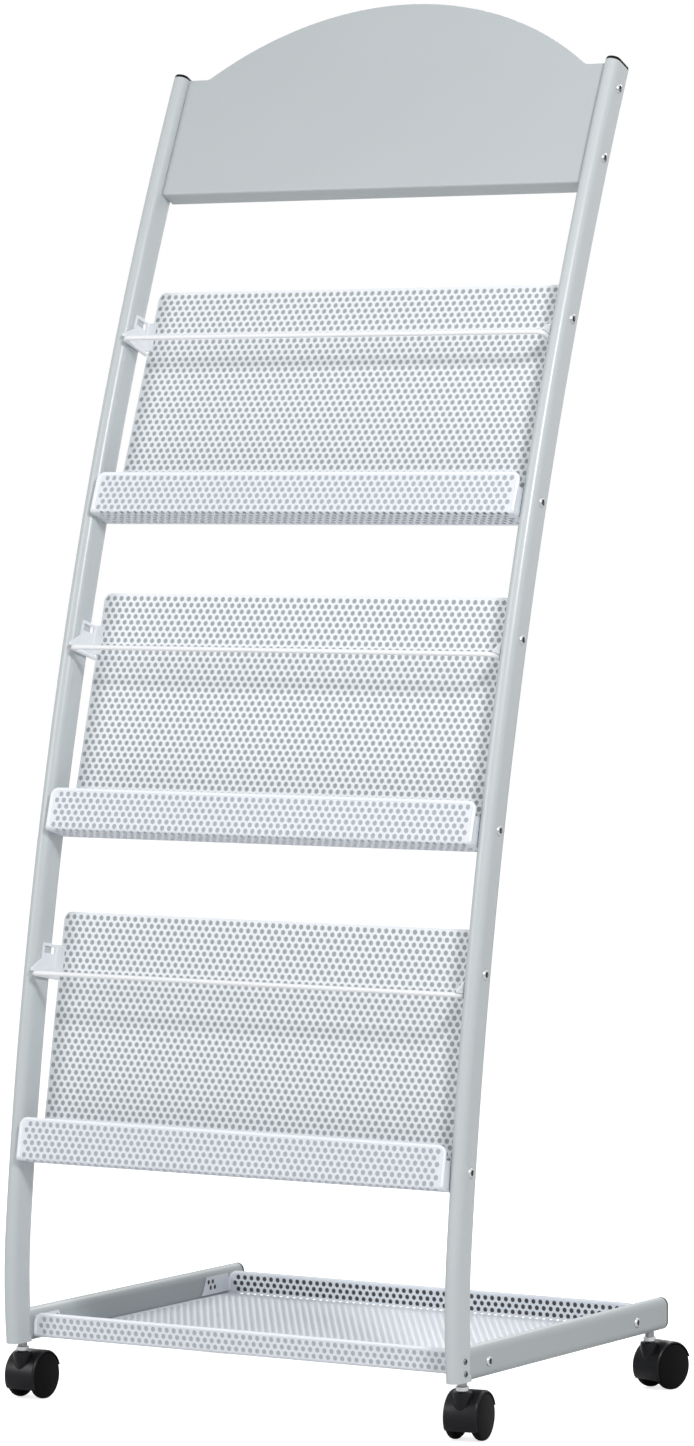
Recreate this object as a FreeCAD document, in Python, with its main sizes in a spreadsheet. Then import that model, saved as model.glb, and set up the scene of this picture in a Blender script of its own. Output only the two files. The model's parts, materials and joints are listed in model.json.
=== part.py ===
"""Mobile magazine rack: two bowed tube side frames on casters, three perforated magazine shelves with
retaining wires, a perforated bottom tray and an arched header board.

Frame: X to the right of someone facing the rack, Y from front to back, Z up. The origin is on the
floor, under the middle of the rack. Lengths are in millimetres and angles in degrees.
"""
import math
import os

import FreeCAD
import Part
import Sketcher

V = FreeCAD.Vector

SIZES = {
    # side frames: flat-oval tube, bent to a long bow with a tighter bend at the foot
    "post_centres": 480.0,
    "tube_width": 15.0,
    "tube_depth": 31.0,
    "tube_wall": 1.2,
    "underside": 55.5,
    "post_back": -195.02,
    "bend_height": 170.0,
    "bend_lean": 5.6,
    "foot_radius": 560.0,
    "bow_radius": 3390.0,
    "post_top": 1258.0,
    "foot_trim": 3.0,
    "rail_reach": 386.5,
    "weld_gap": 0.05,
    # plastic fittings in the tube ends
    "cap_thickness": 3.0,
    "cap_taper": 10.0,
    "cap_depth": 12.0,
    "plug_clearance": 0.15,
    "plug_plate": 2.5,
    "plug_depth": 38.0,
    "socket_height": 27.0,
    "socket_clearance": 0.35,
    "bore_corner_angle": 30.0,
    # header board
    "header_screw_drop": 88.2,
    "header_screw_spacing": 72.7,
    "header_forward": 6.0,
    "header_drop": 27.5,
    "header_shoulder": 124.0,
    "arch_rise": 73.0,
    "arch_radius": 337.0,
    "arch_fillet": 8.0,
    "header_sheet": 1.2,
    "header_flange": 21.5,
    "header_side_flange": 20.0,
    "header_side_height": 112.0,
    "sheet_clearance": 0.3,
    # magazine shelves
    "top_shelf_height": 849.2,
    "middle_shelf_height": 551.7,
    "bottom_shelf_height": 244.9,
    "shelf_screw_spacing": 178.0,
    "shelf_tilt": 2.0,
    "shelf_sheet": 1.2,
    "shelf_bend": 2.0,
    "panel_set": 13.1,
    "panel_top": 221.5,
    "panel_corner": 8.0,
    "floor_drop": 18.5,
    "lip_forward": 21.5,
    "lip_top": 22.5,
    "lip_corner": 8.5,
    "hem_width": 3.6,
    "hem_thickness": 2.6,
    "cheek_top": 11.0,
    # ears and retaining wires
    "ear_sheet": 1.5,
    "ear_rise": 11.0,
    "ear_forward": 6.0,
    "ear_flange": 8.0,
    "ear_corner": 3.0,
    "ear_bar": 3.0,
    "ear_slot": 6.5,
    "ear_waist": 4.0,
    "ear_tip": 2.5,
    "wire_size": 4.6,
    "wire_drop": 20.0,
    "wire_forward": 21.3,
    "wire_gap": 0.2,
    "panel_clearance": 0.3,
    "seat_gap": 0.1,
    # bottom tray
    "tray_front_margin": 12.5,
    "tray_rear_margin": 26.5,
    "tray_lift": 4.0,
    "tray_sheet": 1.2,
    "tray_lip": 23.5,
    "tray_corner": 11.0,
    "tray_bend": 2.0,
    "tab_length": 50.0,
    "tab_height": 20.5,
    "tab_slope": 9.0,
    "grid_border": 12.0,
    "grid_bar": 16.5,
    # casters
    "front_stem_inset": 6.3,
    "rear_stem_inset": 21.0,
    "wheel_radius": 22.0,
    "wheel_width": 11.0,
    "wheel_spread": 11.4,
    "caster_trail": 17.0,
    "hood_clearance": 0.6,
    "hood_wall": 1.6,
    "hood_front_angle": 30.0,
    "hood_back_angle": 20.0,
    "boss_top_size": 18.0,
    "boss_base_size": 12.0,
    "boss_height": 17.5,
    "hood_web": 10.6,
    "axle_size": 5.0,
    "hood_nose": 8.0,
    "axle_cover": 2.0,
    "axle_end_gap": 0.3,
    "running_clearance": 0.05,
    "press_clearance": 0.02,
    "stem_pin": 7.0,
    "stem_pin_depth": 15.0,
    "stem_shank": 8.0,
    "stem_shank_height": 24.0,
    "collar_size": 12.0,
    "collar_height": 8.7,
    "collar_gap": 0.3,
    "front_right_heading": 7.0,
    "front_left_heading": 0.0,
    "rear_right_heading": -15.0,
    "rear_left_heading": 15.0,
}
GRID_COLUMNS = 10
GRID_ROWS = 8

doc = FreeCAD.newDocument("magazine_rack")
sheet = doc.addObject("Spreadsheet::Sheet", "Sizes")
for row, (name, number) in enumerate(SIZES.items(), start=1):
    sheet.set(f"A{row}", name)
    sheet.set(f"B{row}", str(number))
    sheet.setAlias(f"B{row}", name)
doc.recompute()


class Size:
    """A number together with the sheet expression that yields it."""

    def __init__(self, number, text):
        self.number = float(number)
        self.text = text

    def __add__(self, other):
        return joined(self, "+", other)

    def __radd__(self, other):
        return joined(other, "+", self)

    def __sub__(self, other):
        return joined(self, "-", other)

    def __rsub__(self, other):
        return joined(other, "-", self)

    def __mul__(self, other):
        return joined(self, "*", other)

    def __rmul__(self, other):
        return joined(other, "*", self)

    def __truediv__(self, other):
        return joined(self, "/", other)

    def __rtruediv__(self, other):
        return joined(other, "/", self)

    def __neg__(self):
        return joined(0, "-", self)


def as_size(value):
    return value if isinstance(value, Size) else Size(value, f"({float(value)})")


def joined(left, sign, right):
    left, right = as_size(left), as_size(right)
    number = {
        "+": lambda a, b: a + b,
        "-": lambda a, b: a - b,
        "*": lambda a, b: a * b,
        "/": lambda a, b: a / b,
    }[sign](left.number, right.number)
    return Size(number, f"({left.text} {sign} {right.text})")


def sine(angle):
    return Size(math.sin(math.radians(angle.number)), f"sin({angle.text})")


def cosine(angle):
    return Size(math.cos(math.radians(angle.number)), f"cos({angle.text})")


def arcsine(ratio):
    return Size(math.degrees(math.asin(ratio.number)), f"(asin({ratio.text}) / 1 deg)")


def root(value):
    return Size(math.sqrt(value.number), f"sqrt({value.text})")


class Sizes:
    """The sheet's sizes by name."""

    def __getattr__(self, name):
        return Size(SIZES[name], f"Sizes.{name}")


S = Sizes()


# ---- document helpers ----

def bind(item, path, value):
    item.setExpression(path, as_size(value).text)


def place(item, x=0, y=0, z=0, axis=V(1, 0, 0), angle=0):
    """Puts a sub-part at x, y, z, turned by an angle about an axis through that point."""
    numbers = [as_size(value).number for value in (x, y, z, angle)]
    item.Placement = FreeCAD.Placement(V(*numbers[:3]), FreeCAD.Rotation(axis, numbers[3]))
    bind(item, "Placement.Base.x", x)
    bind(item, "Placement.Base.y", y)
    bind(item, "Placement.Base.z", z)
    if numbers[3]:
        turned = item.Placement.Rotation.Axis
        bind(item, "Placement.Rotation.Angle", angle if axis.dot(turned) > 0 else -angle)


def new_body(label):
    body = doc.addObject("PartDesign::Body", label)
    body.Label = label
    return body


def origin_feature(body, role):
    return next(item for item in body.Origin.OriginFeatures if item.Role == role)


def new_sketch(body, role, offset=0):
    sketch = body.newObject("Sketcher::SketchObject", "outline")
    sketch.AttachmentSupport = [(origin_feature(body, role), "")]
    sketch.MapMode = "FlatFace"
    bind(sketch, "AttachmentOffset.Base.z", offset)
    return sketch


def hold(sketch, index, point, x, y):
    """Fixes one point of a sketch at x, y."""
    for kind, value in (("DistanceX", as_size(x)), ("DistanceY", as_size(y))):
        made = sketch.addConstraint(Sketcher.Constraint(kind, -1, 1, index, point, value.number))
        bind(sketch, f"Constraints[{made}]", value)


def radius_of(sketch, index, radius):
    made = sketch.addConstraint(Sketcher.Constraint("Radius", index, as_size(radius).number))
    bind(sketch, f"Constraints[{made}]", radius)


def polygon(sketch, corners):
    """Closed straight-sided outline, each corner held at its own place."""
    first = sketch.GeometryCount
    count = len(corners)
    ends = [V(as_size(x).number, as_size(y).number, 0) for x, y in corners]
    for i in range(count):
        sketch.addGeometry(Part.LineSegment(ends[i], ends[(i + 1) % count]), False)
    for i in range(count):
        sketch.addConstraint(Sketcher.Constraint("Coincident", first + i, 2, first + (i + 1) % count, 1))
    for i, (x, y) in enumerate(corners):
        hold(sketch, first + i, 1, x, y)


def rectangle(sketch, left, right, low, high):
    polygon(sketch, [(left, low), (right, low), (right, high), (left, high)])


def circle(sketch, x, y, diameter):
    centre = V(as_size(x).number, as_size(y).number, 0)
    index = sketch.addGeometry(Part.Circle(centre, V(0, 0, 1), as_size(diameter).number / 2), False)
    hold(sketch, index, 3, x, y)
    radius_of(sketch, index, diameter / 2)


def flat_oval(sketch, x, y, width, depth):
    """Two half rounds joined by straight sides: width across the sketch, depth up it."""
    spread = (depth - width) / 2
    radius = width / 2
    left, right = x - radius, x + radius
    low, high = y - spread, y + spread
    n = [as_size(value).number for value in (x, left, right, low, high, radius)]
    top = Part.Circle(V(n[0], n[4], 0), V(0, 0, 1), n[5])
    bottom = Part.Circle(V(n[0], n[3], 0), V(0, 0, 1), n[5])
    first = sketch.addGeometry(Part.ArcOfCircle(top, 0, math.pi), False)
    sketch.addGeometry(Part.LineSegment(V(n[1], n[4], 0), V(n[1], n[3], 0)), False)
    sketch.addGeometry(Part.ArcOfCircle(bottom, math.pi, 2 * math.pi), False)
    sketch.addGeometry(Part.LineSegment(V(n[2], n[3], 0), V(n[2], n[4], 0)), False)
    for i in range(4):
        sketch.addConstraint(Sketcher.Constraint("Tangent", first + i, 2, first + (i + 1) % 4, 1))
    sketch.addConstraint(Sketcher.Constraint("Equal", first, first + 2))
    radius_of(sketch, first, radius)
    hold(sketch, first, 3, x, high)
    hold(sketch, first + 2, 3, x, low)


def pad(body, sketch, length, both=False, back=False):
    feature = body.newObject("PartDesign::Pad", "pad")
    feature.Profile = sketch
    feature.Midplane = both
    feature.Reversed = back
    bind(feature, "Length", length)
    return feature


def pocket(body, sketch, length, both=False, back=False):
    feature = body.newObject("PartDesign::Pocket", "pocket")
    feature.Profile = sketch
    feature.Midplane = both
    feature.Reversed = back
    bind(feature, "Length", length)
    return feature


def revolve(body, sketch, axis):
    """Turns a profile once round one of its sketch's axes."""
    feature = body.newObject("PartDesign::Revolution", "revolution")
    feature.Profile = sketch
    feature.ReferenceAxis = (sketch, [axis])
    return feature


def sweep(body, section, spine, edges):
    feature = body.newObject("PartDesign::AdditivePipe", "pipe")
    feature.Profile = section
    feature.Spine = (spine, [f"Edge{i + 1}" for i in range(edges)])
    return feature


def mirror(body, features):
    """Repeats features on the other side of the body's YZ plane."""
    feature = body.newObject("PartDesign::Mirrored", "mirrored")
    feature.Originals = features
    feature.MirrorPlane = (origin_feature(body, "YZ_Plane"), [""])
    body.Tip = feature
    return feature


def repeat(body, feature, runs):
    """Repeats a feature in rows: each run is a sketch, its axis, the length covered and the count."""
    pattern = body.newObject("PartDesign::MultiTransform", "pattern")
    pattern.Originals = [feature]
    lines = []
    for sketch, axis, length, count in runs:
        line = body.newObject("PartDesign::LinearPattern", "line")
        line.Direction = (sketch, [axis])
        line.Occurrences = count
        bind(line, "Length", length)
        lines.append(line)
    pattern.Transformations = lines
    body.Tip = pattern
    return pattern


def edges_at(feature, points):
    """Names of the edges whose middles lie at the points."""
    doc.recompute()
    spots = [V(*(as_size(value).number for value in point)) for point in points]
    names = []
    for i, edge in enumerate(feature.Shape.Edges, start=1):
        middle = edge.valueAt((edge.FirstParameter + edge.LastParameter) / 2)
        if any(middle.distanceToPoint(spot) < 1e-3 for spot in spots):
            names.append(f"Edge{i}")
    if len(names) != len(spots):
        raise RuntimeError(f"{feature.Label}: found {len(names)} of {len(spots)} edges")
    return names


def fillet(body, feature, points, radius):
    rounded = body.newObject("PartDesign::Fillet", "fillet")
    rounded.Base = (feature, edges_at(feature, points))
    bind(rounded, "Radius", radius)
    return rounded


# ---- the bowed post's axis ----

bend_ratio = sine(S.bend_lean)
inner_face = (S.post_centres - S.tube_width) / 2
sheet_half = inner_face - S.sheet_clearance


def bow_lean(height):
    """Lean of the post above the foot bend, from vertical."""
    return arcsine(bend_ratio + (height - S.bend_height) / S.bow_radius)


def bow_back(height):
    """Y of the post's axis above the foot bend."""
    return S.post_back + S.bow_radius * (cosine(S.bend_lean) - cosine(bow_lean(height)))


def foot_lean(height):
    """Lean of the post within the foot bend."""
    return arcsine(bend_ratio - (S.bend_height - height) / S.foot_radius)


def foot_back(height):
    """Y of the post's axis within the foot bend."""
    return S.post_back + S.foot_radius * (cosine(S.bend_lean) - cosine(foot_lean(height)))


class Seat:
    """Where a sheet part is fixed to the posts by two points of their axis: the lower one and the lean."""

    def __init__(self, height, spacing):
        self.back = bow_back(height)
        self.height = height
        self.lean = bow_lean(height) + arcsine(spacing / (2 * S.bow_radius))


header_seat = Seat(S.post_top - S.header_screw_drop, S.header_screw_spacing)
shelf_seats = {
    "top": Seat(S.top_shelf_height, S.shelf_screw_spacing),
    "middle": Seat(S.middle_shelf_height, S.shelf_screw_spacing),
    "bottom": Seat(S.bottom_shelf_height, S.shelf_screw_spacing),
}
rail_middle = S.underside + S.tube_depth / 2
rail_end = S.post_back + S.rail_reach
rear_stem = rail_end - S.rear_stem_inset
front_stem = S.post_back + S.front_stem_inset
sides = {"right": 1, "left": -1}
ZERO = as_size(0)
HALF_RIGHT_ANGLE = as_size(45)


def tilt(sketch, back, height, lean):
    """Turns a sketch of the XY plane square to an axis that leans back, at a point of that axis."""
    sketch.AttachmentOffset = FreeCAD.Placement(V(), FreeCAD.Rotation(V(1, 0, 0), -1))
    bind(sketch, "AttachmentOffset.Base.y", back)
    bind(sketch, "AttachmentOffset.Base.z", height)
    along = sketch.AttachmentOffset.Rotation.Axis.x
    bind(sketch, "AttachmentOffset.Rotation.Angle", lean if along < 0 else -lean)


# ---- tube profiles ----

def tube_outline(sketch, y, extra=0):
    """The tube's outside, its long way up the sketch."""
    flat_oval(sketch, ZERO, y, S.tube_width + 2 * extra, S.tube_depth + 2 * extra)


def bore_outline(sketch, y, clearance=0):
    """The tube's inside, kept to flats, less a plug's clearance."""
    half = S.tube_width / 2 - S.tube_wall - clearance
    flat = (S.tube_depth - S.tube_width) / 2
    reach = flat + half * cosine(S.bore_corner_angle)
    right = [(half / 2, y - reach), (half, y - flat), (half, y + flat), (half / 2, y + reach)]
    polygon(sketch, right + [(-x, up) for x, up in reversed(right)])


# ---- side frames ----

def bow_line(body, start):
    """The post's axis: the foot's arc and the long bow, tangent where they meet."""
    line = new_sketch(body, "YZ_Plane")
    lean = math.radians(S.bend_lean.number)
    for radius, low, high in (
        (S.foot_radius, foot_lean(start), S.bend_lean),
        (S.bow_radius, S.bend_lean, bow_lean(S.post_top)),
    ):
        reach = radius.number
        centre = V(
            S.post_back.number + reach * math.cos(lean),
            S.bend_height.number - reach * math.sin(lean),
            0,
        )
        arc = Part.ArcOfCircle(
            Part.Circle(centre, V(0, 0, 1), reach),
            math.pi - math.radians(high.number),
            math.pi - math.radians(low.number),
        )
        radius_of(line, line.addGeometry(arc, False), radius)
    line.addConstraint(Sketcher.Constraint("Tangent", 0, 1, 1, 2))
    hold(line, 0, 1, S.post_back, S.bend_height)
    for index, point, height in (
        (1, 3, S.bend_height - S.bow_radius * bend_ratio),
        (0, 2, start),
        (1, 1, S.post_top),
    ):
        made = line.addConstraint(Sketcher.Constraint("DistanceY", -1, 1, index, point, height.number))
        bind(line, f"Constraints[{made}]", height)
    return line


def make_post(side, sign):
    """Flat-oval tube swept along both arcs of the bow and cut level at the foot."""
    body = new_body(f"post_{side}")
    place(body, x=sign * S.post_centres / 2)
    start = S.underside - S.foot_trim
    section = new_sketch(body, "XY_Plane")
    tilt(section, foot_back(start), start, foot_lean(start))
    tube_outline(section, ZERO)
    bore_outline(section, ZERO)
    sweep(body, section, bow_line(body, start), 2)
    foot = new_sketch(body, "YZ_Plane")
    rectangle(foot, S.post_back - S.tube_depth, S.post_back + S.tube_depth, ZERO, S.underside)
    pocket(body, foot, 2 * S.tube_width, both=True)
    return body


def make_rail(side, sign):
    """Straight tube on edge, coped to the back of the post, with a hole below for the caster's stem."""
    body = new_body(f"base_rail_{side}")
    place(body, x=sign * S.post_centres / 2)
    section = new_sketch(body, "XZ_Plane", -rail_end)
    tube_outline(section, rail_middle)
    bore_outline(section, rail_middle)
    pad(body, section, S.rail_reach)
    cope = new_sketch(body, "XY_Plane")
    tilt(cope, foot_back(rail_middle), rail_middle, foot_lean(rail_middle))
    tube_outline(cope, ZERO, S.weld_gap)
    pocket(body, cope, 3 * S.tube_depth, both=True)
    seat = new_sketch(body, "XY_Plane", S.underside)
    circle(seat, ZERO, rear_stem, S.stem_shank + 2 * S.plug_clearance)
    pocket(body, seat, 2 * S.tube_wall + S.tube_width, both=True)
    return body


def make_cap(side, sign):
    """Domed plastic cap with a plug that goes down the post."""
    body = new_body(f"post_cap_{side}")
    place(body, sign * S.post_centres / 2, bow_back(S.post_top), S.post_top, angle=-bow_lean(S.post_top))
    plate = new_sketch(body, "XY_Plane")
    tube_outline(plate, ZERO)
    dome = pad(body, plate, S.cap_thickness)
    bind(dome, "TaperAngle", -S.cap_taper)
    plug = new_sketch(body, "XY_Plane")
    bore_outline(plug, ZERO, S.plug_clearance)
    pad(body, plug, S.cap_depth, back=True)
    return body


def make_end_plug(side, sign):
    """Plate over the rail's end and a block inside the rail that grips the rear caster's stem."""
    body = new_body(f"rail_end_plug_{side}")
    place(body, x=sign * S.post_centres / 2)
    plate = new_sketch(body, "XZ_Plane", -rail_end)
    tube_outline(plate, rail_middle)
    pad(body, plate, S.plug_plate, back=True)
    block = new_sketch(body, "XZ_Plane", -rail_end)
    bore_outline(block, rail_middle, S.plug_clearance)
    pad(body, block, S.plug_depth)
    bore = new_sketch(body, "XY_Plane", S.underside)
    circle(bore, ZERO, rear_stem, S.stem_shank + 2 * S.press_clearance)
    pocket(body, bore, S.stem_shank_height + S.seat_gap, back=True)
    return body


def make_foot_socket(side, sign):
    """Block in the post's foot that grips the front caster's stem."""
    body = new_body(f"foot_socket_{side}")
    place(body, x=sign * S.post_centres / 2)
    middle = S.underside + S.socket_height / 2
    section = new_sketch(body, "XY_Plane")
    tilt(section, foot_back(middle), middle, foot_lean(middle))
    bore_outline(section, ZERO, S.socket_clearance)
    pad(body, section, S.socket_height + 2 * S.foot_trim, both=True)
    foot = new_sketch(body, "YZ_Plane")
    rectangle(foot, S.post_back - S.tube_depth, S.post_back + S.tube_depth, ZERO, S.underside)
    pocket(body, foot, 2 * S.tube_width, both=True)
    bore = new_sketch(body, "XY_Plane", S.underside)
    circle(bore, ZERO, front_stem, S.stem_shank + 2 * S.press_clearance)
    pocket(body, bore, S.stem_shank_height + S.seat_gap, back=True)
    return body


# ---- header board ----

def make_header():
    """Folded sheet between the posts: arched face, a flange under it and one along each post."""
    body = new_body("header_board")
    lean = header_seat.lean
    place(
        body,
        y=header_seat.back - S.header_forward * cosine(lean) - S.header_drop * sine(lean),
        z=header_seat.height + S.header_forward * sine(lean) - S.header_drop * cosine(lean),
        angle=-lean,
    )
    half = sheet_half
    apex = S.header_shoulder + S.arch_rise
    centre = apex - S.arch_radius
    # the arch springs where the fillet's circle and the arch's circle touch
    fillet_height = S.header_shoulder + S.arch_fillet
    reach = S.arch_radius + S.arch_fillet
    fillet_x = root(reach * reach - (fillet_height - centre) * (fillet_height - centre))
    spring_x = fillet_x * S.arch_radius / reach
    spring_z = centre + (fillet_height - centre) * S.arch_radius / reach
    face = new_sketch(body, "XZ_Plane")
    draw_header(face, half, centre, fillet_x, fillet_height, spring_x, spring_z)
    pad(body, face, S.header_sheet, back=True)
    flanges = new_sketch(body, "XY_Plane")
    rectangle(flanges, -half, half, ZERO, S.header_flange)
    pad(body, flanges, S.header_sheet)
    returns = new_sketch(body, "XY_Plane")
    rectangle(returns, half - S.header_sheet, half, ZERO, S.header_side_flange)
    rectangle(returns, -half, S.header_sheet - half, ZERO, S.header_side_flange)
    pad(body, returns, S.header_side_height)
    return body


def draw_header(sketch, half, centre, fillet_x, fillet_height, spring_x, spring_z):
    """Outline of the header's face: square below, shoulders, and an arch that flows out of them."""
    shoulder = S.header_shoulder
    corners = [
        (-fillet_x, shoulder),
        (-half, shoulder),
        (-half, ZERO),
        (half, ZERO),
        (half, shoulder),
        (fillet_x, shoulder),
    ]
    spots = [V(x.number, z.number, 0) for x, z in corners]
    for i in range(len(spots) - 1):
        sketch.addGeometry(Part.LineSegment(spots[i], spots[i + 1]), False)
    turn = math.atan2(fillet_height.number - centre.number, fillet_x.number)
    small, large = S.arch_fillet.number, S.arch_radius.number
    right = Part.Circle(V(fillet_x.number, fillet_height.number, 0), V(0, 0, 1), small)
    left = Part.Circle(V(-fillet_x.number, fillet_height.number, 0), V(0, 0, 1), small)
    arch = Part.Circle(V(0, centre.number, 0), V(0, 0, 1), large)
    sketch.addGeometry(Part.ArcOfCircle(right, math.pi + turn, 1.5 * math.pi), False)
    sketch.addGeometry(Part.ArcOfCircle(arch, turn, math.pi - turn), False)
    sketch.addGeometry(Part.ArcOfCircle(left, 1.5 * math.pi, 2 * math.pi - turn), False)
    for i in range(4):
        sketch.addConstraint(Sketcher.Constraint("Coincident", i, 2, i + 1, 1))
    for first, point, second, other in ((4, 2, 5, 2), (5, 1, 6, 1), (6, 2, 7, 2), (7, 1, 0, 1)):
        sketch.addConstraint(Sketcher.Constraint("Coincident", first, point, second, other))
    for i, (x, z) in enumerate(corners[:-1]):
        hold(sketch, i, 1, x, z)
    hold(sketch, 4, 2, *corners[-1])
    hold(sketch, 6, 1, spring_x, spring_z)
    hold(sketch, 6, 2, -spring_x, spring_z)
    radius_of(sketch, 5, S.arch_fillet)
    radius_of(sketch, 6, S.arch_radius)
    radius_of(sketch, 7, S.arch_fillet)


# ---- magazine shelves ----

upper_up = S.shelf_screw_spacing * cosine(S.shelf_tilt)
upper_back = -S.shelf_screw_spacing * sine(S.shelf_tilt)
wire_reach = inner_face - S.wire_gap - S.wire_size / 2
panel_half = wire_reach - S.wire_size / 2 - S.panel_clearance


def shelf_place(item, seat, back=0, up=0):
    """Puts a sub-part at a point of a shelf's own frame: back from its lower screw and up its panel."""
    lean = seat.lean + S.shelf_tilt
    place(
        item,
        y=seat.back + back * cosine(lean) + up * sine(lean),
        z=seat.height - back * sine(lean) + up * cosine(lean),
        angle=-lean,
    )


def add_hem(body, front, low, high, half):
    """Doubles the sheet along the top and both ends of a lip whose face lies at y = front."""
    for left, right, bottom in (
        (-half, half, high - S.hem_width),
        (-half, S.hem_width - half, low),
        (half - S.hem_width, half, low),
    ):
        rim = new_sketch(body, "XZ_Plane", -front)
        rectangle(rim, left, right, bottom, high)
        doubled = pad(body, rim, S.hem_thickness, back=True)
    return doubled


def make_shelf(name, seat):
    """One folded sheet: tall panel, narrow floor, hemmed lip, and a cheek at each end of the trough."""
    body = new_body(f"magazine_shelf_{name}")
    shelf_place(body, seat)
    wall = S.shelf_sheet
    front, back = -S.lip_forward, S.panel_set + S.shelf_sheet
    floor = -S.floor_drop
    bend = S.shelf_bend + wall
    profile = new_sketch(body, "YZ_Plane")
    polygon(profile, [
        (front, S.lip_top), (front, floor), (back, floor), (back, S.panel_top),
        (S.panel_set, S.panel_top), (S.panel_set, floor + wall), (front + wall, floor + wall),
        (front + wall, S.lip_top),
    ])
    folded = pad(body, profile, 2 * sheet_half, both=True)
    bent = fillet(body, folded, [(0, front, floor), (0, back, floor)], bend)
    inner = [(0, front + wall, floor + wall), (0, S.panel_set, floor + wall)]
    fillet(body, bent, inner, S.shelf_bend)
    hemmed = add_hem(body, front, floor + bend, S.lip_top, sheet_half)
    corner = front + S.hem_thickness / 2
    fillet(body, hemmed, [(sheet_half, corner, S.lip_top), (-sheet_half, corner, S.lip_top)], S.lip_corner)
    notch = new_sketch(body, "XZ_Plane")
    for near, far in ((panel_half, sheet_half + wall), (-sheet_half - wall, -panel_half)):
        rectangle(notch, near, far, floor + bend, S.panel_top + wall)
    narrowed = pocket(body, notch, 2 * S.panel_set)
    corner = S.panel_set + wall / 2
    top_corners = [(panel_half, corner, S.panel_top), (-panel_half, corner, S.panel_top)]
    fillet(body, narrowed, top_corners, S.panel_corner)
    cheek = new_sketch(body, "YZ_Plane", sheet_half - wall)
    middle = wall / 2
    turn = bend - (bend - middle) * cosine(HALF_RIGHT_ANGLE)
    polygon(cheek, [
        (front + middle, S.cheek_top), (front + middle, floor + bend), (front + turn, floor + turn),
        (front + bend, floor + middle), (back - bend, floor + middle), (back - turn, floor + turn),
        (back - middle, floor + bend), (back - middle, S.cheek_top),
    ])
    mirror(body, [pad(body, cheek, wall)])
    return body


def make_ear(name, seat, side, sign):
    """Bracket on the post: a slotted side leg that narrows to a tip over the wire's arm, and a front leg
    over the face of the shelf's panel."""
    body = new_body(f"shelf_ear_{name}_{side}")
    shelf_place(body, seat, upper_back, upper_up)
    low = S.seat_gap + S.wire_size / 2 - S.wire_drop
    back = S.panel_set - upper_back
    inner = inner_face - S.ear_sheet
    leg_start = inner if sign > 0 else -inner_face
    leg = new_sketch(body, "YZ_Plane", leg_start)
    polygon(leg, [
        (-S.wire_forward, low), (back, low), (back, S.ear_rise), (-S.ear_forward, S.ear_rise),
        (-S.ear_forward, -S.ear_waist), (-S.wire_forward, low + S.ear_tip),
    ])
    pad(body, leg, S.ear_sheet)
    front = new_sketch(body, "XZ_Plane", -back)
    rectangle(front, sign * (inner - S.ear_flange), sign * inner_face, low, S.ear_rise)
    bent = pad(body, front, S.ear_sheet)
    across = sign * (inner_face - S.ear_sheet / 2)
    along = back - S.ear_sheet / 2
    fillet(body, bent, [
        (across, -S.ear_forward, S.ear_rise), (sign * (inner - S.ear_flange), along, S.ear_rise),
    ], S.ear_corner)
    slot = new_sketch(body, "YZ_Plane", leg_start)
    top = S.ear_rise - S.ear_bar
    rectangle(slot, S.ear_bar - S.ear_forward, back - S.ear_sheet - S.ear_bar, top - S.ear_slot, top)
    pocket(body, slot, 4 * S.ear_sheet, both=True)
    return body


def make_wire(name, seat):
    """Retaining wire: a bar in front of the magazines with an arm back to each end of the panel."""
    body = new_body(f"retaining_wire_{name}")
    shelf_place(body, seat, upper_back, upper_up - S.wire_drop)
    back = S.panel_set + S.shelf_sheet - upper_back
    line = new_sketch(body, "XY_Plane")
    front = -S.wire_forward
    corners = [(-wire_reach, back), (-wire_reach, front), (wire_reach, front), (wire_reach, back)]
    spots = [V(x.number, y.number, 0) for x, y in corners]
    for i in range(3):
        line.addGeometry(Part.LineSegment(spots[i], spots[i + 1]), False)
    for i in range(2):
        line.addConstraint(Sketcher.Constraint("Coincident", i, 2, i + 1, 1))
    for i, (x, y) in enumerate(corners[:-1]):
        hold(line, i, 1, x, y)
    hold(line, 2, 2, *corners[-1])
    section = new_sketch(body, "XZ_Plane", -back)
    circle(section, -wire_reach, ZERO, S.wire_size)
    rod = sweep(body, section, line, 3)
    rod.Transition = "Right corner"
    return body


# ---- bottom tray ----

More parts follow.
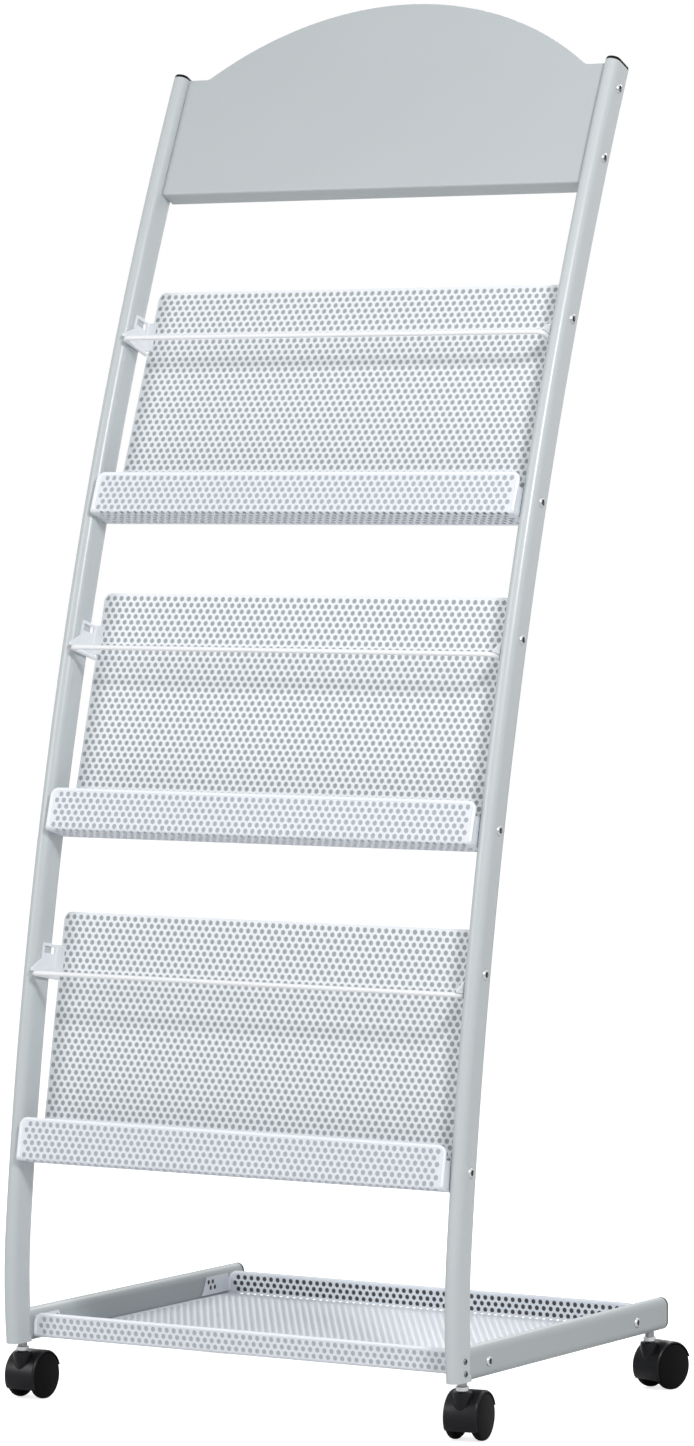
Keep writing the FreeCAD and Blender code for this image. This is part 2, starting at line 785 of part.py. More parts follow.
def make_tray():
    """Shallow folded tray between the rails: hemmed lip front and back, and tabs along the rails."""
    body = new_body("bottom_tray")
    place(body, y=S.post_back, z=S.underside + S.tray_lift)
    wall = S.tray_sheet
    front, back = S.tray_front_margin, S.rail_reach - S.tray_rear_margin
    bend = S.tray_bend + wall
    profile = new_sketch(body, "YZ_Plane")
    polygon(profile, [
        (front, S.tray_lip), (front, ZERO), (back, ZERO), (back, S.tray_lip),
        (back - wall, S.tray_lip), (back - wall, wall), (front + wall, wall), (front + wall, S.tray_lip),
    ])
    folded = pad(body, profile, 2 * sheet_half, both=True)
    bent = fillet(body, folded, [(0, front, ZERO), (0, back, ZERO)], bend)
    fillet(body, bent, [(0, front + wall, wall), (0, back - wall, wall)], S.tray_bend)
    add_hem(body, front, bend, S.tray_lip, sheet_half)
    hemmed = add_hem(body, back - S.hem_thickness, bend, S.tray_lip, sheet_half)
    corners = []
    for along in (front + S.hem_thickness / 2, back - S.hem_thickness / 2):
        corners += [(sheet_half, along, S.tray_lip), (-sheet_half, along, S.tray_lip)]
    fillet(body, hemmed, corners, S.tray_corner)
    tabs = new_sketch(body, "YZ_Plane", sheet_half - wall)
    middle = wall / 2
    shoulder = S.tray_lip - S.tray_corner
    for near, inward in ((front, 1), (back, -1)):
        polygon(tabs, [(near + inward * y, z) for y, z in (
            (middle, bend), (bend, middle), (S.tab_length, middle),
            (S.tab_length - S.tab_slope, S.tab_height), (S.hem_width, S.tab_height), (middle, shoulder),
        )])
    mirror(body, [pad(body, tabs, wall)])
    cut_grid(body, sheet_half - S.grid_border, front + S.grid_border, back - S.grid_border)
    return body


def cut_grid(body, half, front, back):
    """Opens the floor in a plain grid that stands for its punched holes."""
    across = (2 * half + S.grid_bar) / GRID_COLUMNS
    along = (back - front + S.grid_bar) / GRID_ROWS
    hole = new_sketch(body, "XY_Plane")
    rectangle(hole, -half, across - S.grid_bar - half, front, front + along - S.grid_bar)
    cut = pocket(body, hole, 2 * S.tray_sheet, back=True)
    repeat(body, cut, (
        (hole, "H_Axis", across * (GRID_COLUMNS - 1), GRID_COLUMNS),
        (hole, "V_Axis", along * (GRID_ROWS - 1), GRID_ROWS),
    ))


# ---- casters ----

collar_low = S.underside - S.collar_height
boss_top = collar_low - S.collar_gap
pin_low = boss_top - S.stem_pin_depth
wheel_near = S.wheel_spread / 2
wheel_far = wheel_near + S.wheel_width
hood_radius = S.wheel_radius + S.hood_clearance + S.hood_wall


class Caster:
    """A twin-wheel caster's name, stem place and heading."""

    def __init__(self, end, side, sign, stem):
        self.name = f"{end}_{side}_caster"
        self.x = sign * S.post_centres / 2
        self.y = stem
        self.heading = getattr(S, f"{end}_{side}_heading")

    def body(self, piece):
        body = new_body(f"{self.name}_{piece}")
        place(body, self.x, self.y, axis=V(0, 0, 1), angle=self.heading)
        return body


def make_stem(caster):
    """Turned stem: pin in the hood, bright collar, shank in the frame."""
    body = new_body(f"{caster.name}_stem")
    place(body, caster.x, caster.y)
    profile = new_sketch(body, "XZ_Plane")
    shank_top = S.underside + S.stem_shank_height
    polygon(profile, [
        (ZERO, pin_low + S.seat_gap), (S.stem_pin / 2, pin_low + S.seat_gap), (S.stem_pin / 2, collar_low),
        (S.collar_size / 2, collar_low), (S.collar_size / 2, S.underside), (S.stem_shank / 2, S.underside),
        (S.stem_shank / 2, shank_top), (ZERO, shank_top),
    ])
    revolve(body, profile, "V_Axis")
    return body


def axle_sketch(body):
    """Sketch of the axle's level whose first axis is the axle."""
    sketch = new_sketch(body, "XY_Plane", S.wheel_radius)
    bind(sketch, "AttachmentOffset.Base.y", S.caster_trail)
    return sketch


def make_wheel(caster, side, sign):
    """Solid wheel with a blind bore that runs on the axle."""
    body = caster.body(f"wheel_{side}")
    profile = axle_sketch(body)
    bore = S.axle_size / 2 + S.running_clearance
    cover = wheel_far - S.axle_cover
    polygon(profile, [(sign * x, r) for x, r in (
        (wheel_near, bore), (wheel_near, S.wheel_radius), (wheel_far, S.wheel_radius), (wheel_far, ZERO),
        (cover, ZERO), (cover, bore),
    )])
    revolve(body, profile, "H_Axis")
    return body


def make_axle(caster):
    """Pin through the hood's web, its ends inside the wheels."""
    body = caster.body("axle")
    end = wheel_far - S.axle_cover - S.axle_end_gap
    profile = new_sketch(body, "YZ_Plane")
    circle(profile, S.caster_trail, S.wheel_radius, S.axle_size)
    pad(body, profile, 2 * end, both=True)
    return body


def make_hood(caster):
    """Moulded hood: a web between the wheels, a shell over both and a boss up to the stem."""
    body = caster.body("hood")
    centre = (S.caster_trail, S.wheel_radius)
    side = new_sketch(body, "YZ_Plane")
    sector(side, centre, hood_radius, S.hood_back_angle, 180 + S.hood_front_angle, S.hood_nose)
    pad(body, side, 2 * wheel_far, both=True)
    boss = new_sketch(body, "XZ_Plane")
    base = boss_top - S.boss_height
    polygon(boss, [
        (ZERO, base), (S.boss_base_size / 2, base), (S.boss_top_size / 2, boss_top), (ZERO, boss_top),
    ])
    revolve(body, boss, "V_Axis")
    for out in (1, -1):
        well = new_sketch(body, "YZ_Plane", out * S.hood_web / 2)
        circle(well, *centre, 2 * (S.wheel_radius + S.hood_clearance))
        pocket(body, well, wheel_far + S.hood_wall, back=out > 0)
    bore = new_sketch(body, "XY_Plane", boss_top)
    circle(bore, ZERO, ZERO, S.stem_pin + 2 * S.running_clearance)
    pocket(body, bore, S.stem_pin_depth)
    seat = new_sketch(body, "YZ_Plane")
    circle(seat, *centre, S.axle_size + 2 * S.press_clearance)
    pocket(body, seat, 2 * S.hood_web, both=True)
    return body


def sector(sketch, centre, radius, low, high, nose):
    """Arc about a centre between two angles, closed by lines that meet a nose beyond the centre."""
    y, z = centre
    ends = [(y + radius * cosine(angle), z + radius * sine(angle)) for angle in (low, high)]
    middle = (low + high) / 2
    point = (y - nose * cosine(middle), z - nose * sine(middle))
    spots = [V(a.number, b.number, 0) for a, b in (*ends, point)]
    round_edge = Part.Circle(V(y.number, z.number, 0), V(0, 0, 1), radius.number)
    turns = [math.radians(angle.number) for angle in (low, high)]
    sketch.addGeometry(Part.ArcOfCircle(round_edge, *turns), False)
    sketch.addGeometry(Part.LineSegment(spots[1], spots[2]), False)
    sketch.addGeometry(Part.LineSegment(spots[2], spots[0]), False)
    for first, second in ((0, 1), (1, 2), (2, 0)):
        sketch.addConstraint(Sketcher.Constraint("Coincident", first, 2, second, 1))
    hold(sketch, 0, 3, y, z)
    hold(sketch, 2, 1, *point)
    hold(sketch, 0, 1, *ends[0])
    made = sketch.addConstraint(Sketcher.Constraint("DistanceY", -1, 1, 0, 2, ends[1][1].number))
    bind(sketch, f"Constraints[{made}]", ends[1][1])


def finish():
    """Stops if any object of the document failed or any sub-part has no valid solid."""
    doc.recompute()
    for item in doc.Objects:
        if {"Invalid", "Error"} & set(item.State):
            raise RuntimeError(f"{item.Label}: {item.State}")
        if item.TypeId in ("PartDesign::Pocket", "PartDesign::Groove"):
            if item.Shape.Volume > item.BaseFeature.Shape.Volume - 1e-6:
                raise RuntimeError(f"{item.Label} cuts nothing")


parts = []
for side, sign in sides.items():
    for make in (make_post, make_rail, make_cap, make_end_plug, make_foot_socket):
        parts.append(make(side, sign))
parts.append(make_header())
for name, seat in shelf_seats.items():
    parts.append(make_shelf(name, seat))
    parts.append(make_wire(name, seat))
    for side, sign in sides.items():
        parts.append(make_ear(name, seat, side, sign))
parts.append(make_tray())
for end, stem in (("front", front_stem), ("rear", rear_stem)):
    for side, sign in sides.items():
        caster = Caster(end, side, sign, stem)
        parts += [make_stem(caster), make_hood(caster), make_axle(caster)]
        for wheel_side, wheel_sign in sides.items():
            parts.append(make_wheel(caster, wheel_side, wheel_sign))

finish()
os.makedirs("parts", exist_ok=True)
for part in parts:
    shape = part.Shape
    if shape.isNull() or not shape.isValid():
        raise RuntimeError(f"{part.Label} has no valid shape")
    shape.exportStep(f"parts/{part.Label}.step")
    print(part.Label, len(shape.Solids), round(shape.Volume), shape.BoundBox)
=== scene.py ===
"""Dresses the mobile magazine rack: tube frames, punched shelves and tray, header, wires, casters.

Lengths are in metres, in the rack's own frame: X right, Y back, Z up, origin on the floor.
"""

import json
import math

import bmesh
import bpy
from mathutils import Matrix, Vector


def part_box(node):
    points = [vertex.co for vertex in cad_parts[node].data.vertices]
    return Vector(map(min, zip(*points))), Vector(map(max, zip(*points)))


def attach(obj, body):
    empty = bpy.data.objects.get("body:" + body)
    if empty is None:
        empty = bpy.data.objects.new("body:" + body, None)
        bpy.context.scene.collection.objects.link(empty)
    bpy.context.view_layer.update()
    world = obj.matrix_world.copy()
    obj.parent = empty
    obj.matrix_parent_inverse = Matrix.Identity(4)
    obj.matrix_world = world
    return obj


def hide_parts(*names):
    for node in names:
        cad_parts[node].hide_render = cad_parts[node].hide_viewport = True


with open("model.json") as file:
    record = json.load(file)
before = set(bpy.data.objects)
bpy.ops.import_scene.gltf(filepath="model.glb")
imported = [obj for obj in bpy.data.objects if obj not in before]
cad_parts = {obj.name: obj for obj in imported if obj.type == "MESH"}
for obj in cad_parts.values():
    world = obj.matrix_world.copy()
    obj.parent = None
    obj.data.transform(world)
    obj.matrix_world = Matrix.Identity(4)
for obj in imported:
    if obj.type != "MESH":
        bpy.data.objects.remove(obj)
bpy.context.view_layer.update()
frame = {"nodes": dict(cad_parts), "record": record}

MM = 0.001
X_AXIS = Vector((1, 0, 0))
Z_AXIS = Vector((0, 0, 1))
SIDES = {"right": 1, "left": -1}
SHELVES = ("top", "middle", "bottom")
CORNER_SPANS = 6
DOUBLES = 1e-6
HAIR = 1e-7

# posts and rails: bow, oval of the tube, welded joint
FOOT_RADIUS = 560 * MM
BOW_RADIUS = 3390 * MM
JOIN_HEIGHT = 170 * MM
JOIN_LEAN = math.radians(5.6)
POST_TOP = 1258 * MM
STEM_BEHIND_AXIS = 6.3 * MM
RAIL_SEAM = 0.4 * MM
FOOT_SPANS = 14
BOW_SPANS = 60
OVAL_SPANS = 10
OVAL_EDGE = 0.5 * MM

# rounding of small edges
CAP_ROUNDING = 0.7 * MM
PLUG_ROUNDING = 0.2 * MM
EAR_ROUNDING = 0.25 * MM
HEADER_ROUNDING = 0.5 * MM
HEADER_FOLD = 2.2 * MM

# holes, and the thin layer inside a sheet whose colour paints the shade seen through them
HOLE_PITCH = 7.65 * MM
HOLE_ROW = 5.9 * MM
HOLE_RADIUS = 2.45 * MM
HOLE_SIDES = 10
SPARE_COLUMNS = 4
SPARE_ROWS = 3
EDGE_BAND = 2.4 * MM
SIDE_BAND = 1.2 * MM
TOUCH = 0.05 * MM
TILE_SEAM = 0.02 * MM
# thickness of the layer of painted shade inside a sheet, and its share of the sheet's outline
PAINTED_SHADE = 0.2 * MM
PAINTED_SHADE_SHARE = 0.996

# folded sheets: corners, bends, hems, cheeks and tabs
SHEET_CREASE = 30
PANEL_CORNER = 8 * MM
LIP_CORNER = 8.5 * MM
SHELF_BEND = 3.2 * MM
BEND_CUTS = 6
HEM_WIDTH = 3.8 * MM
HEM_THICKNESS = 2.6 * MM
HEM_STEP = 0.7 * MM
HEM_SIDES = 16
HEM_CORNER_SPANS = 10
CHEEK_RISE = 27 * MM
CHEEK_FOOT_CORNER = 2.6 * MM
CHEEK_HEAD_CORNER = 4 * MM
CHEEK_ROUNDING = 0.4 * MM
FACE_MARGIN = 0.4 * MM
FACES_FORWARD = -0.3
FACES_ASIDE = 0.01
TRAY_CORNER = 11 * MM
TRAY_WALL = 1.2 * MM
TAB_LENGTH = 50 * MM
TAB_SLOPE = 9 * MM
TAB_DROP = 3 * MM
TAB_LEAD = 3 * MM
TAB_SHOULDER = 12.5 * MM
TAB_HOLES = 23.5 * MM

# wires
WIRE_BEND = 6 * MM
WIRE_SIDES = 14
WIRE_BEND_SPANS = 8

# screws: heights in mm, and profiles as (out of the tube, radius) in shares of the head's radius
SCREW_HEAD = 4.7 * MM
FOOT_SCREW_HEAD = 2.9 * MM
SCREW_HEIGHTS = (1235.9, 1169.8, 1018.6, 849.2, 723.9, 551.7, 422.3, 244.9)
FOOT_SCREW_HEIGHTS = (75.0, 63.6)
RAIL_SCREWS = ((41.8, 14.5), (325.5, 14.5))
SCREW_SIDES = 24
BUTTON = (
    (-0.1, 0), (-0.1, 1), (0.12, 1), (0.34, 0.84), (0.42, 0.6), (0.2, 0.55), (0.2, 0),
)
# dark disc at the bottom of each head's recess, which paints the shade inside it
RECESS_SHADE = ((0.1, 0), (0.1, 0.57), (0.24, 0.57), (0.24, 0))

# wheels: tread as (eleventh of the width, share of the radius), and the hollow round the hub
TREAD = (
    (0, 0.16), (0, 0.70), (1.2, 0.80), (2.6, 0.895), (4.2, 0.965), (5.6, 0.995), (6.6, 1),
    (8.2, 1), (9.6, 0.985), (10.5, 0.955), (11, 0.90),
)
TREAD_UNITS = 11
HUB = 0.16
HUB_HOLLOW = 1 * MM
WHEEL_SIDES = 72

# caster hood: shell over the wheels, web between them, boss round the stem
HOOD_GAP = 0.6 * MM
HOOD_WALL = 1.6 * MM
HOOD_RIM = 0.3 * MM
HOOD_EDGE = 2.6 * MM
HOOD_EDGE_SPANS = 5
HOOD_FRONT = math.radians(30)
HOOD_BACK = math.radians(20)
HOOD_SPANS = 40
HOOD_DRAW = 0.012
HOOD_DRAW_SPAN = 0.05
HOOD_NOSE = 8 * MM
WEB_HALF = 5.3 * MM
WEB_LAP = 0.4 * MM
WEB_ROUNDING = 0.6 * MM
WEB_SPANS = 36
BOSS_TOP = 9 * MM
BOSS_BASE = 6 * MM
BOSS_HEIGHT = 17.5 * MM
BOSS_GAP = 0.3 * MM
BOSS_ROUNDING = 0.8 * MM
BOSS_SPANS = 8
BOSS_SIDES = 48

# caster stem
WITHIN_COLLAR = 5 * MM
RING_HEIGHT = 4.6 * MM
RING_CHAMFER = 0.5 * MM
RING_TOP_CHAMFER = 0.6 * MM
PIN = 3.5 * MM
NECK = 4.4 * MM
SHANK = 4 * MM
STEM_SIDES = 32

# studio: lamps as place, aim, size and watts; the camera stands off from the posts' axis at the
# rails, and its focal length is in rows of the image
LAMPS = {
    "key": ((-2.2, -3.2, 2.1), (0, 0, 0.7), 2.0, 48),
    "side": ((1.8, -1.5, 2.1), (0.2, 0, 0.8), 0.5, 38),
    "back": ((-0.3, 1.6, 1.8), (0, 0.1, 0.1), 1.0, 24),
}
AMBIENT = 0.43
FLOOR_SHADE = 0.76
FLOOR_GLOW = 0.75
FLOOR_REACH = 12
CAMERA_AZIMUTH = math.radians(31.07)
CAMERA_PITCH = math.radians(2.33)
CAMERA_PLACE = (2.8432, -4.51595, 0.8634)
SENSOR = 36
FOCAL_ROWS = 5804
IMAGE_ROWS = 1446


# ---- finishes ----

class Finish:
    """A material of one shader, with helpers that add its grain and its shades."""

    def __init__(self, name, colour, roughness, metallic=0.0):
        self.material = bpy.data.materials.new(name)
        self.material.use_nodes = True
        self.tree = self.material.node_tree
        self.shader = self.tree.nodes["Principled BSDF"]
        self.colour = colour
        self.roughness = roughness
        self.shader.inputs["Base Color"].default_value = (*colour, 1)
        self.shader.inputs["Roughness"].default_value = roughness
        self.shader.inputs["Metallic"].default_value = metallic
        self.place = self.add("ShaderNodeTexCoord").outputs["Object"]

    def add(self, kind, **settings):
        node = self.tree.nodes.new(kind)
        for key, value in settings.items():
            setattr(node, key, value)
        return node

    def link(self, start, end):
        self.tree.links.new(start, end)

    def noise(self, scale, detail):
        node = self.add("ShaderNodeTexNoise")
        node.inputs["Scale"].default_value = scale
        node.inputs["Detail"].default_value = detail
        self.link(self.place, node.inputs["Vector"])
        return node.outputs["Fac"]

    def shades(self, scale, spread):
        """Slow drift of the colour over the piece."""
        mix = self.add("ShaderNodeMix", data_type="RGBA")
        for end, share in (("A", 1 - spread), ("B", 1 + spread)):
            mix.inputs[end].default_value = (*(min(1, c * share) for c in self.colour), 1)
        self.link(self.noise(scale, detail=3), mix.inputs["Factor"])
        self.link(mix.outputs["Result"], self.shader.inputs["Base Color"])

    def shine(self, level):
        self.shader.inputs["Specular IOR Level"].default_value = level

    def gloss(self, scale, below, above):
        """Roughness that wanders below and above its own value."""
        span = self.add("ShaderNodeMapRange")
        span.inputs["To Min"].default_value = self.roughness - below
        span.inputs["To Max"].default_value = self.roughness + above
        self.link(self.noise(scale, detail=4), span.inputs["Value"])
        self.link(span.outputs["Result"], self.shader.inputs["Roughness"])

    def grain(self, scale, height, strength=0.6):
        """Fine relief, such as the orange peel of a powder coat."""
        bump = self.add("ShaderNodeBump")
        bump.inputs["Strength"].default_value = strength
        bump.inputs["Distance"].default_value = height
        self.link(self.noise(scale, detail=2), bump.inputs["Height"])
        self.link(bump.outputs["Normal"], self.shader.inputs["Normal"])


def powder_coat(name, colour, roughness=0.42):
    coat = Finish(name, colour, roughness)
    coat.shades(scale=6, spread=0.02)
    coat.gloss(scale=900, below=0.05, above=0.08)
    coat.grain(scale=1400, height=0.06 * MM)
    return coat.material


def moulded(name, colour, roughness, shine):
    plastic = Finish(name, colour, roughness)
    plastic.shine(shine)
    plastic.shades(scale=60, spread=0.25)
    plastic.gloss(scale=300, below=0.06, above=0.1)
    plastic.grain(scale=2500, height=0.05 * MM)
    return plastic.material


def plated(name, colour, roughness):
    metal = Finish(name, colour, roughness, metallic=1.0)
    metal.shades(scale=80, spread=0.06)
    metal.gloss(scale=700, below=0.04, above=0.1)
    return metal.material


FRAME_COAT = powder_coat("frame_coat", (0.525, 0.565, 0.58), roughness=0.28)
# painted shade: the frame's paint made darker on the rails, for the dimmer light near the floor
RAIL_SHADED_COAT = powder_coat("rail_coat_painted_shade", (0.4, 0.435, 0.445), roughness=0.45)
# painted shade: the frame's paint made darker on the header, for how the light falls on it
HEADER_SHADED_COAT = powder_coat("header_coat_painted_shade", (0.465, 0.503, 0.518))
SHEET_COAT = powder_coat("sheet_coat", (0.8, 0.83, 0.865))
# painted shade: the sheet paint made a little darker and cooler on the troughs and the tray, for
# how the light falls on them
TROUGH_SHADED_COAT = powder_coat("trough_coat_painted_shade", (0.75, 0.785, 0.835))
# painted highlight: the sheet paint made brighter on the rolled hems, for the light their round
# bead catches
HEM_HIGHLIGHT_COAT = powder_coat("hem_coat_painted_highlight", (0.87, 0.9, 0.95))
WIRE_COAT = powder_coat("wire_coat", (0.88, 0.89, 0.91))
# painted shade: grey of the layer inside each shelf panel, seen through its holes
PANEL_HOLE_SHADE = powder_coat("panel_hole_shade", (0.36, 0.385, 0.395), roughness=0.7)
# painted shade: colour of the layer inside the lips, seen through their holes
LIP_HOLE_SHADE = powder_coat("lip_hole_shade", (0.42, 0.445, 0.48), roughness=0.7)
# painted shade: near-black layer inside the tray's rear lip and tabs, seen through their holes
TRAY_HOLE_SHADE = powder_coat("tray_hole_shade", (0.06, 0.06, 0.065), roughness=0.7)
BLACK_PLASTIC = moulded("black_plastic", (0.006, 0.006, 0.007), roughness=0.45, shine=0.08)
HOOD_PLASTIC = moulded("hood_plastic", (0.005, 0.005, 0.007), roughness=0.3, shine=0.24)
WHEEL_PLASTIC = moulded("wheel_plastic", (0.004, 0.004, 0.004), roughness=0.5, shine=0.06)
BRIGHT_STEEL = plated("bright_steel", (0.66, 0.67, 0.69), roughness=0.22)
# painted shade: near-black steel for the discs in the screws' recesses
RECESS_SHADE_STEEL = plated("recess_painted_shade", (0.03, 0.03, 0.035), roughness=0.45)
DULL_STEEL = plated("dull_steel", (0.2, 0.21, 0.22), roughness=0.4)
NECK_STEEL = plated("neck_steel", (0.3, 0.31, 0.32), roughness=0.3)


# ---- mesh helpers ----

def mesh_of(name, bm):
    """Mesh of a bmesh, which is used up."""
    mesh = bpy.data.meshes.new(name)
    bm.to_mesh(mesh)
    bm.free()
    return mesh


def opened(*meshes):
    """One bmesh of all the meshes, which are used up."""
    bm = bmesh.new()
    for mesh in meshes:
        bm.from_mesh(mesh)
        bpy.data.meshes.remove(mesh)
    return bm


def merged(*parts):
    """One bmesh of several."""
    return opened(*[mesh_of("part", part) for part in parts])


def placed(name, data):
    """Object in the scene."""
    item = bpy.data.objects.new(name, data)
    bpy.context.scene.collection.objects.link(item)
    return item


def piece(name, bm, materials, body="frame", crease=35):
    """Makes a bmesh a finished piece that rides on a body, smooth up to the crease angle."""
    mesh = mesh_of(name, bm)
    for face in mesh.polygons:
        face.use_smooth = True
    mesh.set_sharp_from_angle(angle=math.radians(crease))
    for material in materials:
        mesh.materials.append(material)
    item = placed(name, mesh)
    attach(item, body)
    return item


def stand_in(item, *nodes, slot):
    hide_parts(*nodes)


def skin(rings, closed=False):
    """Quads between matching rings of points, with a face over each end of an open row."""
    bm = bmesh.new()
    rings = [[bm.verts.new(point) for point in points] for points in rings]
    for near, far in zip(rings, rings[1:] + (rings[:1] if closed else [])):
        for j in range(len(near)):
            k = (j + 1) % len(near)
            bm.faces.new((near[j], near[k], far[k], far[j]))
    if not closed:
        bm.faces.new(rings[0][::-1])
        bm.faces.new(rings[-1])
    return bm


def outward(bm):
    """Turns the faces of a closed solid outward."""
    bmesh.ops.recalc_face_normals(bm, faces=bm.faces)
    if bm.calc_volume(signed=True) < 0:
        bmesh.ops.reverse_faces(bm, faces=bm.faces)
    return bm


def arc(centre_a, centre_b, radius, start, end, spans):
    """Points of an arc, its start and end in degrees."""
    turns = [math.radians(start + (end - start) * i / spans) for i in range(spans + 1)]
    return [(centre_a + radius * math.cos(t), centre_b + radius * math.sin(t)) for t in turns]


def unit_circle(sides):
    return arc(0, 0, 1, 0, 360, sides)[:-1]


def rounded_box(width, height, corner_low, corner_high):
    """Outline of a centred rectangle whose lower and upper corners are rounded as asked."""
    w, h = width / 2, height / 2
    points = []
    for a, b, radius, start in (
        (w, h, corner_high, 0), (-w, h, corner_high, 90),
        (-w, -h, corner_low, 180), (w, -h, corner_low, 270),
    ):
        if radius:
            in_a, in_b = a - math.copysign(radius, a), b - math.copysign(radius, b)
            points += arc(in_a, in_b, radius, start, start + 90, CORNER_SPANS)
        else:
            points.append((a, b))
    return points


def swept(path, normal, profile):
    """Tube along a flat path, its profile as (along the normal, across the path)."""
    rings = []
    for i, point in enumerate(path):
        ahead = path[min(i + 1, len(path) - 1)] - path[max(i - 1, 0)]
        across = ahead.normalized().cross(normal)
        rings.append([point + normal * a + across * b for a, b in profile])
    return outward(skin(rings))


def prism(outline, span, place):
    """Outline of (a, b) points drawn over a span of c, put in the frame place(a, b, c)."""
    return outward(skin([[place(a, b, c) for a, b in outline] for c in span]))


def lathe(profile, place, sides):
    """Solid of (along the axis, radius) points, turned about the first axis of place(a, b, c)."""
    turns = [2 * math.pi * i / sides for i in range(sides)]
    rings = [[place(a, r * math.cos(t), r * math.sin(t)) for a, r in profile] for t in turns]
    bm = skin(rings, closed=True)
    bmesh.ops.remove_doubles(bm, verts=bm.verts, dist=DOUBLES)
    bmesh.ops.dissolve_degenerate(bm, dist=HAIR, edges=bm.edges)
    return outward(bm)


def bevelled(bm, width, segments=2, angle=30):
    """Rounds the edges of a closed solid that are sharper than the angle."""
    limit = math.radians(angle)
    edges = [e for e in bm.edges if e.is_manifold and e.calc_face_angle(0) > limit]
    bmesh.ops.bevel(
        bm, geom=edges, offset=width, segments=segments, profile=0.7, affect="EDGES",
        clamp_overlap=True,
    )
    return bm


def softened(node, width, segments=2, fold=0):
    """Copy of a CAD node's shape: facets merged, foremost fold and sharp edges rounded."""
    bm = bmesh.new()
    bm.from_mesh(frame["nodes"][node].data)
    bmesh.ops.remove_doubles(bm, verts=bm.verts, dist=DOUBLES)
    bmesh.ops.dissolve_limit(
        bm, angle_limit=math.radians(1), verts=bm.verts, edges=bm.edges, delimit=set(),
    )
    if fold:
        foremost = min(bm.edges, key=lambda edge: sum(vert.co.y for vert in edge.verts))
        bmesh.ops.bevel(
            bm, geom=[foremost], offset=fold, segments=CORNER_SPANS, profile=0.5,
            affect="EDGES",
        )
    return bevelled(bm, width, segments)


# ---- side frames ----

stem_low, stem_high = (Vector(v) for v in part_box("front_right_caster_stem"))
rail_low, rail_high = (Vector(v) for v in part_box("base_rail_right"))
UNDERSIDE = rail_low.z
AXIS_AT_JOIN = (stem_low.y + stem_high.y) / 2 - STEM_BEHIND_AXIS
TUBE_WIDTH = rail_high.x - rail_low.x
TUBE_DEPTH = rail_high.z - rail_low.z
POST_CENTRE = (rail_low.x + rail_high.x) / 2
OUTER_FACE = rail_high.x


def bow(height):
    """Y of the post's axis and its lean at a height."""
    radius = BOW_RADIUS if height > JOIN_HEIGHT else FOOT_RADIUS
    lean = math.asin(math.sin(JOIN_LEAN) + (height - JOIN_HEIGHT) / radius)
    return AXIS_AT_JOIN + radius * (math.cos(JOIN_LEAN) - math.cos(lean)), lean


def flat_oval(width, depth):
    """Closed outline (across, along its depth) of two half rounds joined by straight sides."""
    radius, spread = width / 2, (depth - width) / 2
    top = arc(0, spread, radius, 0, 180, OVAL_SPANS)
    bottom = arc(0, -spread, radius, 180, 360, OVAL_SPANS)
    side = [(-radius, spread - OVAL_EDGE), (-radius, OVAL_EDGE - spread)]
    return top + side + bottom + [(-x, -y) for x, y in side]


TUBE_OUTLINE = flat_oval(TUBE_WIDTH, TUBE_DEPTH)


def make_post(side, sign):
    foot = [UNDERSIDE + (JOIN_HEIGHT - UNDERSIDE) * i / FOOT_SPANS for i in range(FOOT_SPANS)]
    rise = [JOIN_HEIGHT + (POST_TOP - JOIN_HEIGHT) * i / BOW_SPANS for i in range(BOW_SPANS + 1)]
    rings = []
    for height in foot + rise:
        back, lean = bow(height)
        centre = Vector((sign * POST_CENTRE, back, height))
        across = Vector((0, math.cos(lean), -math.sin(lean)))
        points = [centre + X_AXIS * a + across * b for a, b in TUBE_OUTLINE]
        if height == UNDERSIDE:
            along = Vector((0, math.sin(lean), math.cos(lean)))
            points = [p + along * (UNDERSIDE - p.z) / along.z for p in points]
        rings.append(points)
    post = piece(f"bowed_post_{side}", outward(skin(rings)), [FRAME_COAT])
    stand_in(post, f"post_{side}", slot="frame_paint")


def make_rail(side, sign):
    middle = (rail_low.z + rail_high.z) / 2
    start = bow(middle)[0] + TUBE_DEPTH / 2 - TUBE_WIDTH / 2 + RAIL_SEAM
    rings = []
    for back in (start, rail_high.y):
        centre = Vector((sign * POST_CENTRE, back, middle))
        rings.append([centre + Vector((a, 0, b)) for a, b in TUBE_OUTLINE])
    # the rails wear the darker copy of the frame's paint, a painted shade
    rail = piece(f"bottom_rail_{side}", outward(skin(rings)), [RAIL_SHADED_COAT])
    stand_in(rail, f"base_rail_{side}", slot="frame_paint")


def make_plastic(node, rounding):
    plastic = piece(f"soft_{node}", softened(node, rounding), [BLACK_PLASTIC])
    stand_in(plastic, node, slot="black_plastic")


for side, sign in SIDES.items():
    make_post(side, sign)
    make_rail(side, sign)
    make_plastic(f"post_cap_{side}", CAP_ROUNDING)
    make_plastic(f"rail_end_plug_{side}", PLUG_ROUNDING)


# ---- node trees ----

